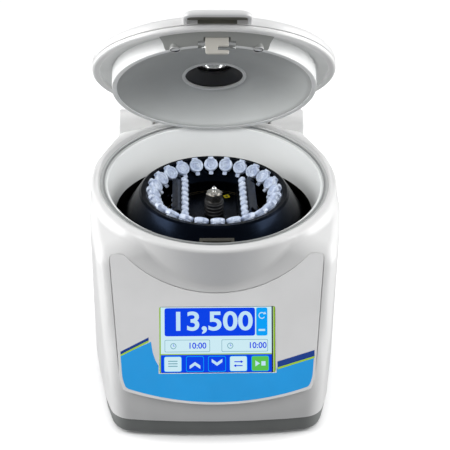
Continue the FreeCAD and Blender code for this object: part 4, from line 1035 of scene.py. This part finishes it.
# ---------------- stage, light and camera
def build_stage():
    """Pale floor, soft lights and the camera."""
    floor_data = bpy.data.meshes.new("studio_floor")
    reach = 6.0
    corners = [(a * reach, b * reach, 0) for a, b in ((-1, -1), (1, -1), (1, 1), (-1, 1))]
    floor_data.from_pydata(corners, [], [[0, 1, 2, 3]])
    floor = show("studio_floor", floor_data)
    look = Look("pale_floor")
    look.vary("Base Color", look.noise(120.0, 2.0), 0.88, 0.9)
    look.fix("Roughness", 0.9)
    floor_data.materials.append(look.made)

    sky = bpy.data.worlds.new("studio")
    bpy.context.scene.world = sky
    sky.use_nodes = True
    light = sky.node_tree.nodes["Background"].inputs
    light["Color"].default_value = (0.97, 0.98, 1.0, 1)
    light["Strength"].default_value = SKY_STRENGTH
    for name, place, height, size, power, targets in LAMPS:
        lit_pieces = [made for made in bpy.data.objects if made.name.startswith(targets)]
        add_light(name, place, (0, AXIS_Y, height), size, power, lit_pieces)
    add_light("floor_wash", (0.0, 0.0, 2.5), (0, 0, 0), 2.5, 60.0, [floor])
    floor.visible_diffuse = False
    floor.visible_glossy = False
    add_camera()
    bpy.context.scene.view_settings.view_transform = "Standard"


ON_LIP = ("lid_lip", "lid_ring_wall", "lid_recess")
ON_ROTOR = ("micro_tubes", "strip_", "nut_", "clamp_", "pin_ball")
ON_PANEL = ("control_panel", "field_", "stripe_")
# name, place, height that it is aimed at, side, watts, first letters of the pieces it lights
LAMPS = (
    ("left_soft", (-1.0, -0.05, 0.50), 0.15, 0.8, 12.0, ()),
    ("right_soft", (1.0, -0.05, 0.50), 0.15, 0.8, 11.0, ()),
    ("lip_left_soft", (-1.1, -0.62, 0.16), 0.3, 0.4, 3.0, ON_LIP),
    ("lip_right_soft", (1.1, -0.62, 0.16), 0.3, 0.4, 2.6, ON_LIP),
    ("top_soft", (0.0, 0.20, 1.40), 0.15, 0.8, 3.4, ()),
    ("chamber_soft", (0.0, -1.0, 0.98), 0.2, 0.5, 11.5, ("collar",)),
    ("rotor_soft", (-0.3, -0.85, 1.15), 0.2, 0.4, 4.5, ON_ROTOR),
    ("lid_soft", (-0.60, -0.90, 1.15), 0.3, 0.4, 56.0, ("lid_bowl",)),
    ("panel_soft", (0.0, -1.2, 0.9), 0.1, 0.8, 5.2, ON_PANEL))


def add_light(name, place, target, size, power, lit_pieces):
    """Square soft box aimed at a point; it lights only the given pieces, or everything if there are none."""
    data = bpy.data.lights.new(name, "AREA")
    data.shape = "SQUARE"
    data.size = size
    data.energy = power
    lamp = show(name, data)
    lamp.location = place
    lamp.rotation_mode = "QUATERNION"
    lamp.rotation_quaternion = (Vector(target) - Vector(place)).to_track_quat("-Z", "Y")
    if lit_pieces:
        chosen = bpy.data.collections.new(name + "_targets")
        for made in lit_pieces:
            chosen.objects.link(made)
        lamp.light_linking.receiver_collection = chosen


def add_camera():
    """Camera a little above and in front, looking down into the chamber."""
    data = bpy.data.cameras.new("camera")
    data.sensor_width = 36.0
    data.lens = CAMERA_LENS
    camera = show("camera", data)
    across, ahead = sin(CAMERA_LEFT), cos(CAMERA_LEFT)
    forward = Vector((across * cos(CAMERA_DOWN), ahead * cos(CAMERA_DOWN), -sin(CAMERA_DOWN)))
    turn = forward.to_track_quat("-Z", "Y").to_matrix().to_4x4() @ Matrix.Rotation(CAMERA_ROLL, 4, "Z")
    camera.matrix_world = Matrix.Translation(CAMERA_PLACE) @ turn
    bpy.context.scene.camera = camera


build_housing()
build_base()
build_panel()
build_screen()
build_chamber()
build_tubes()
build_rotor()
build_lid()
build_hook()
build_handle()
build_inside()
build_stage()
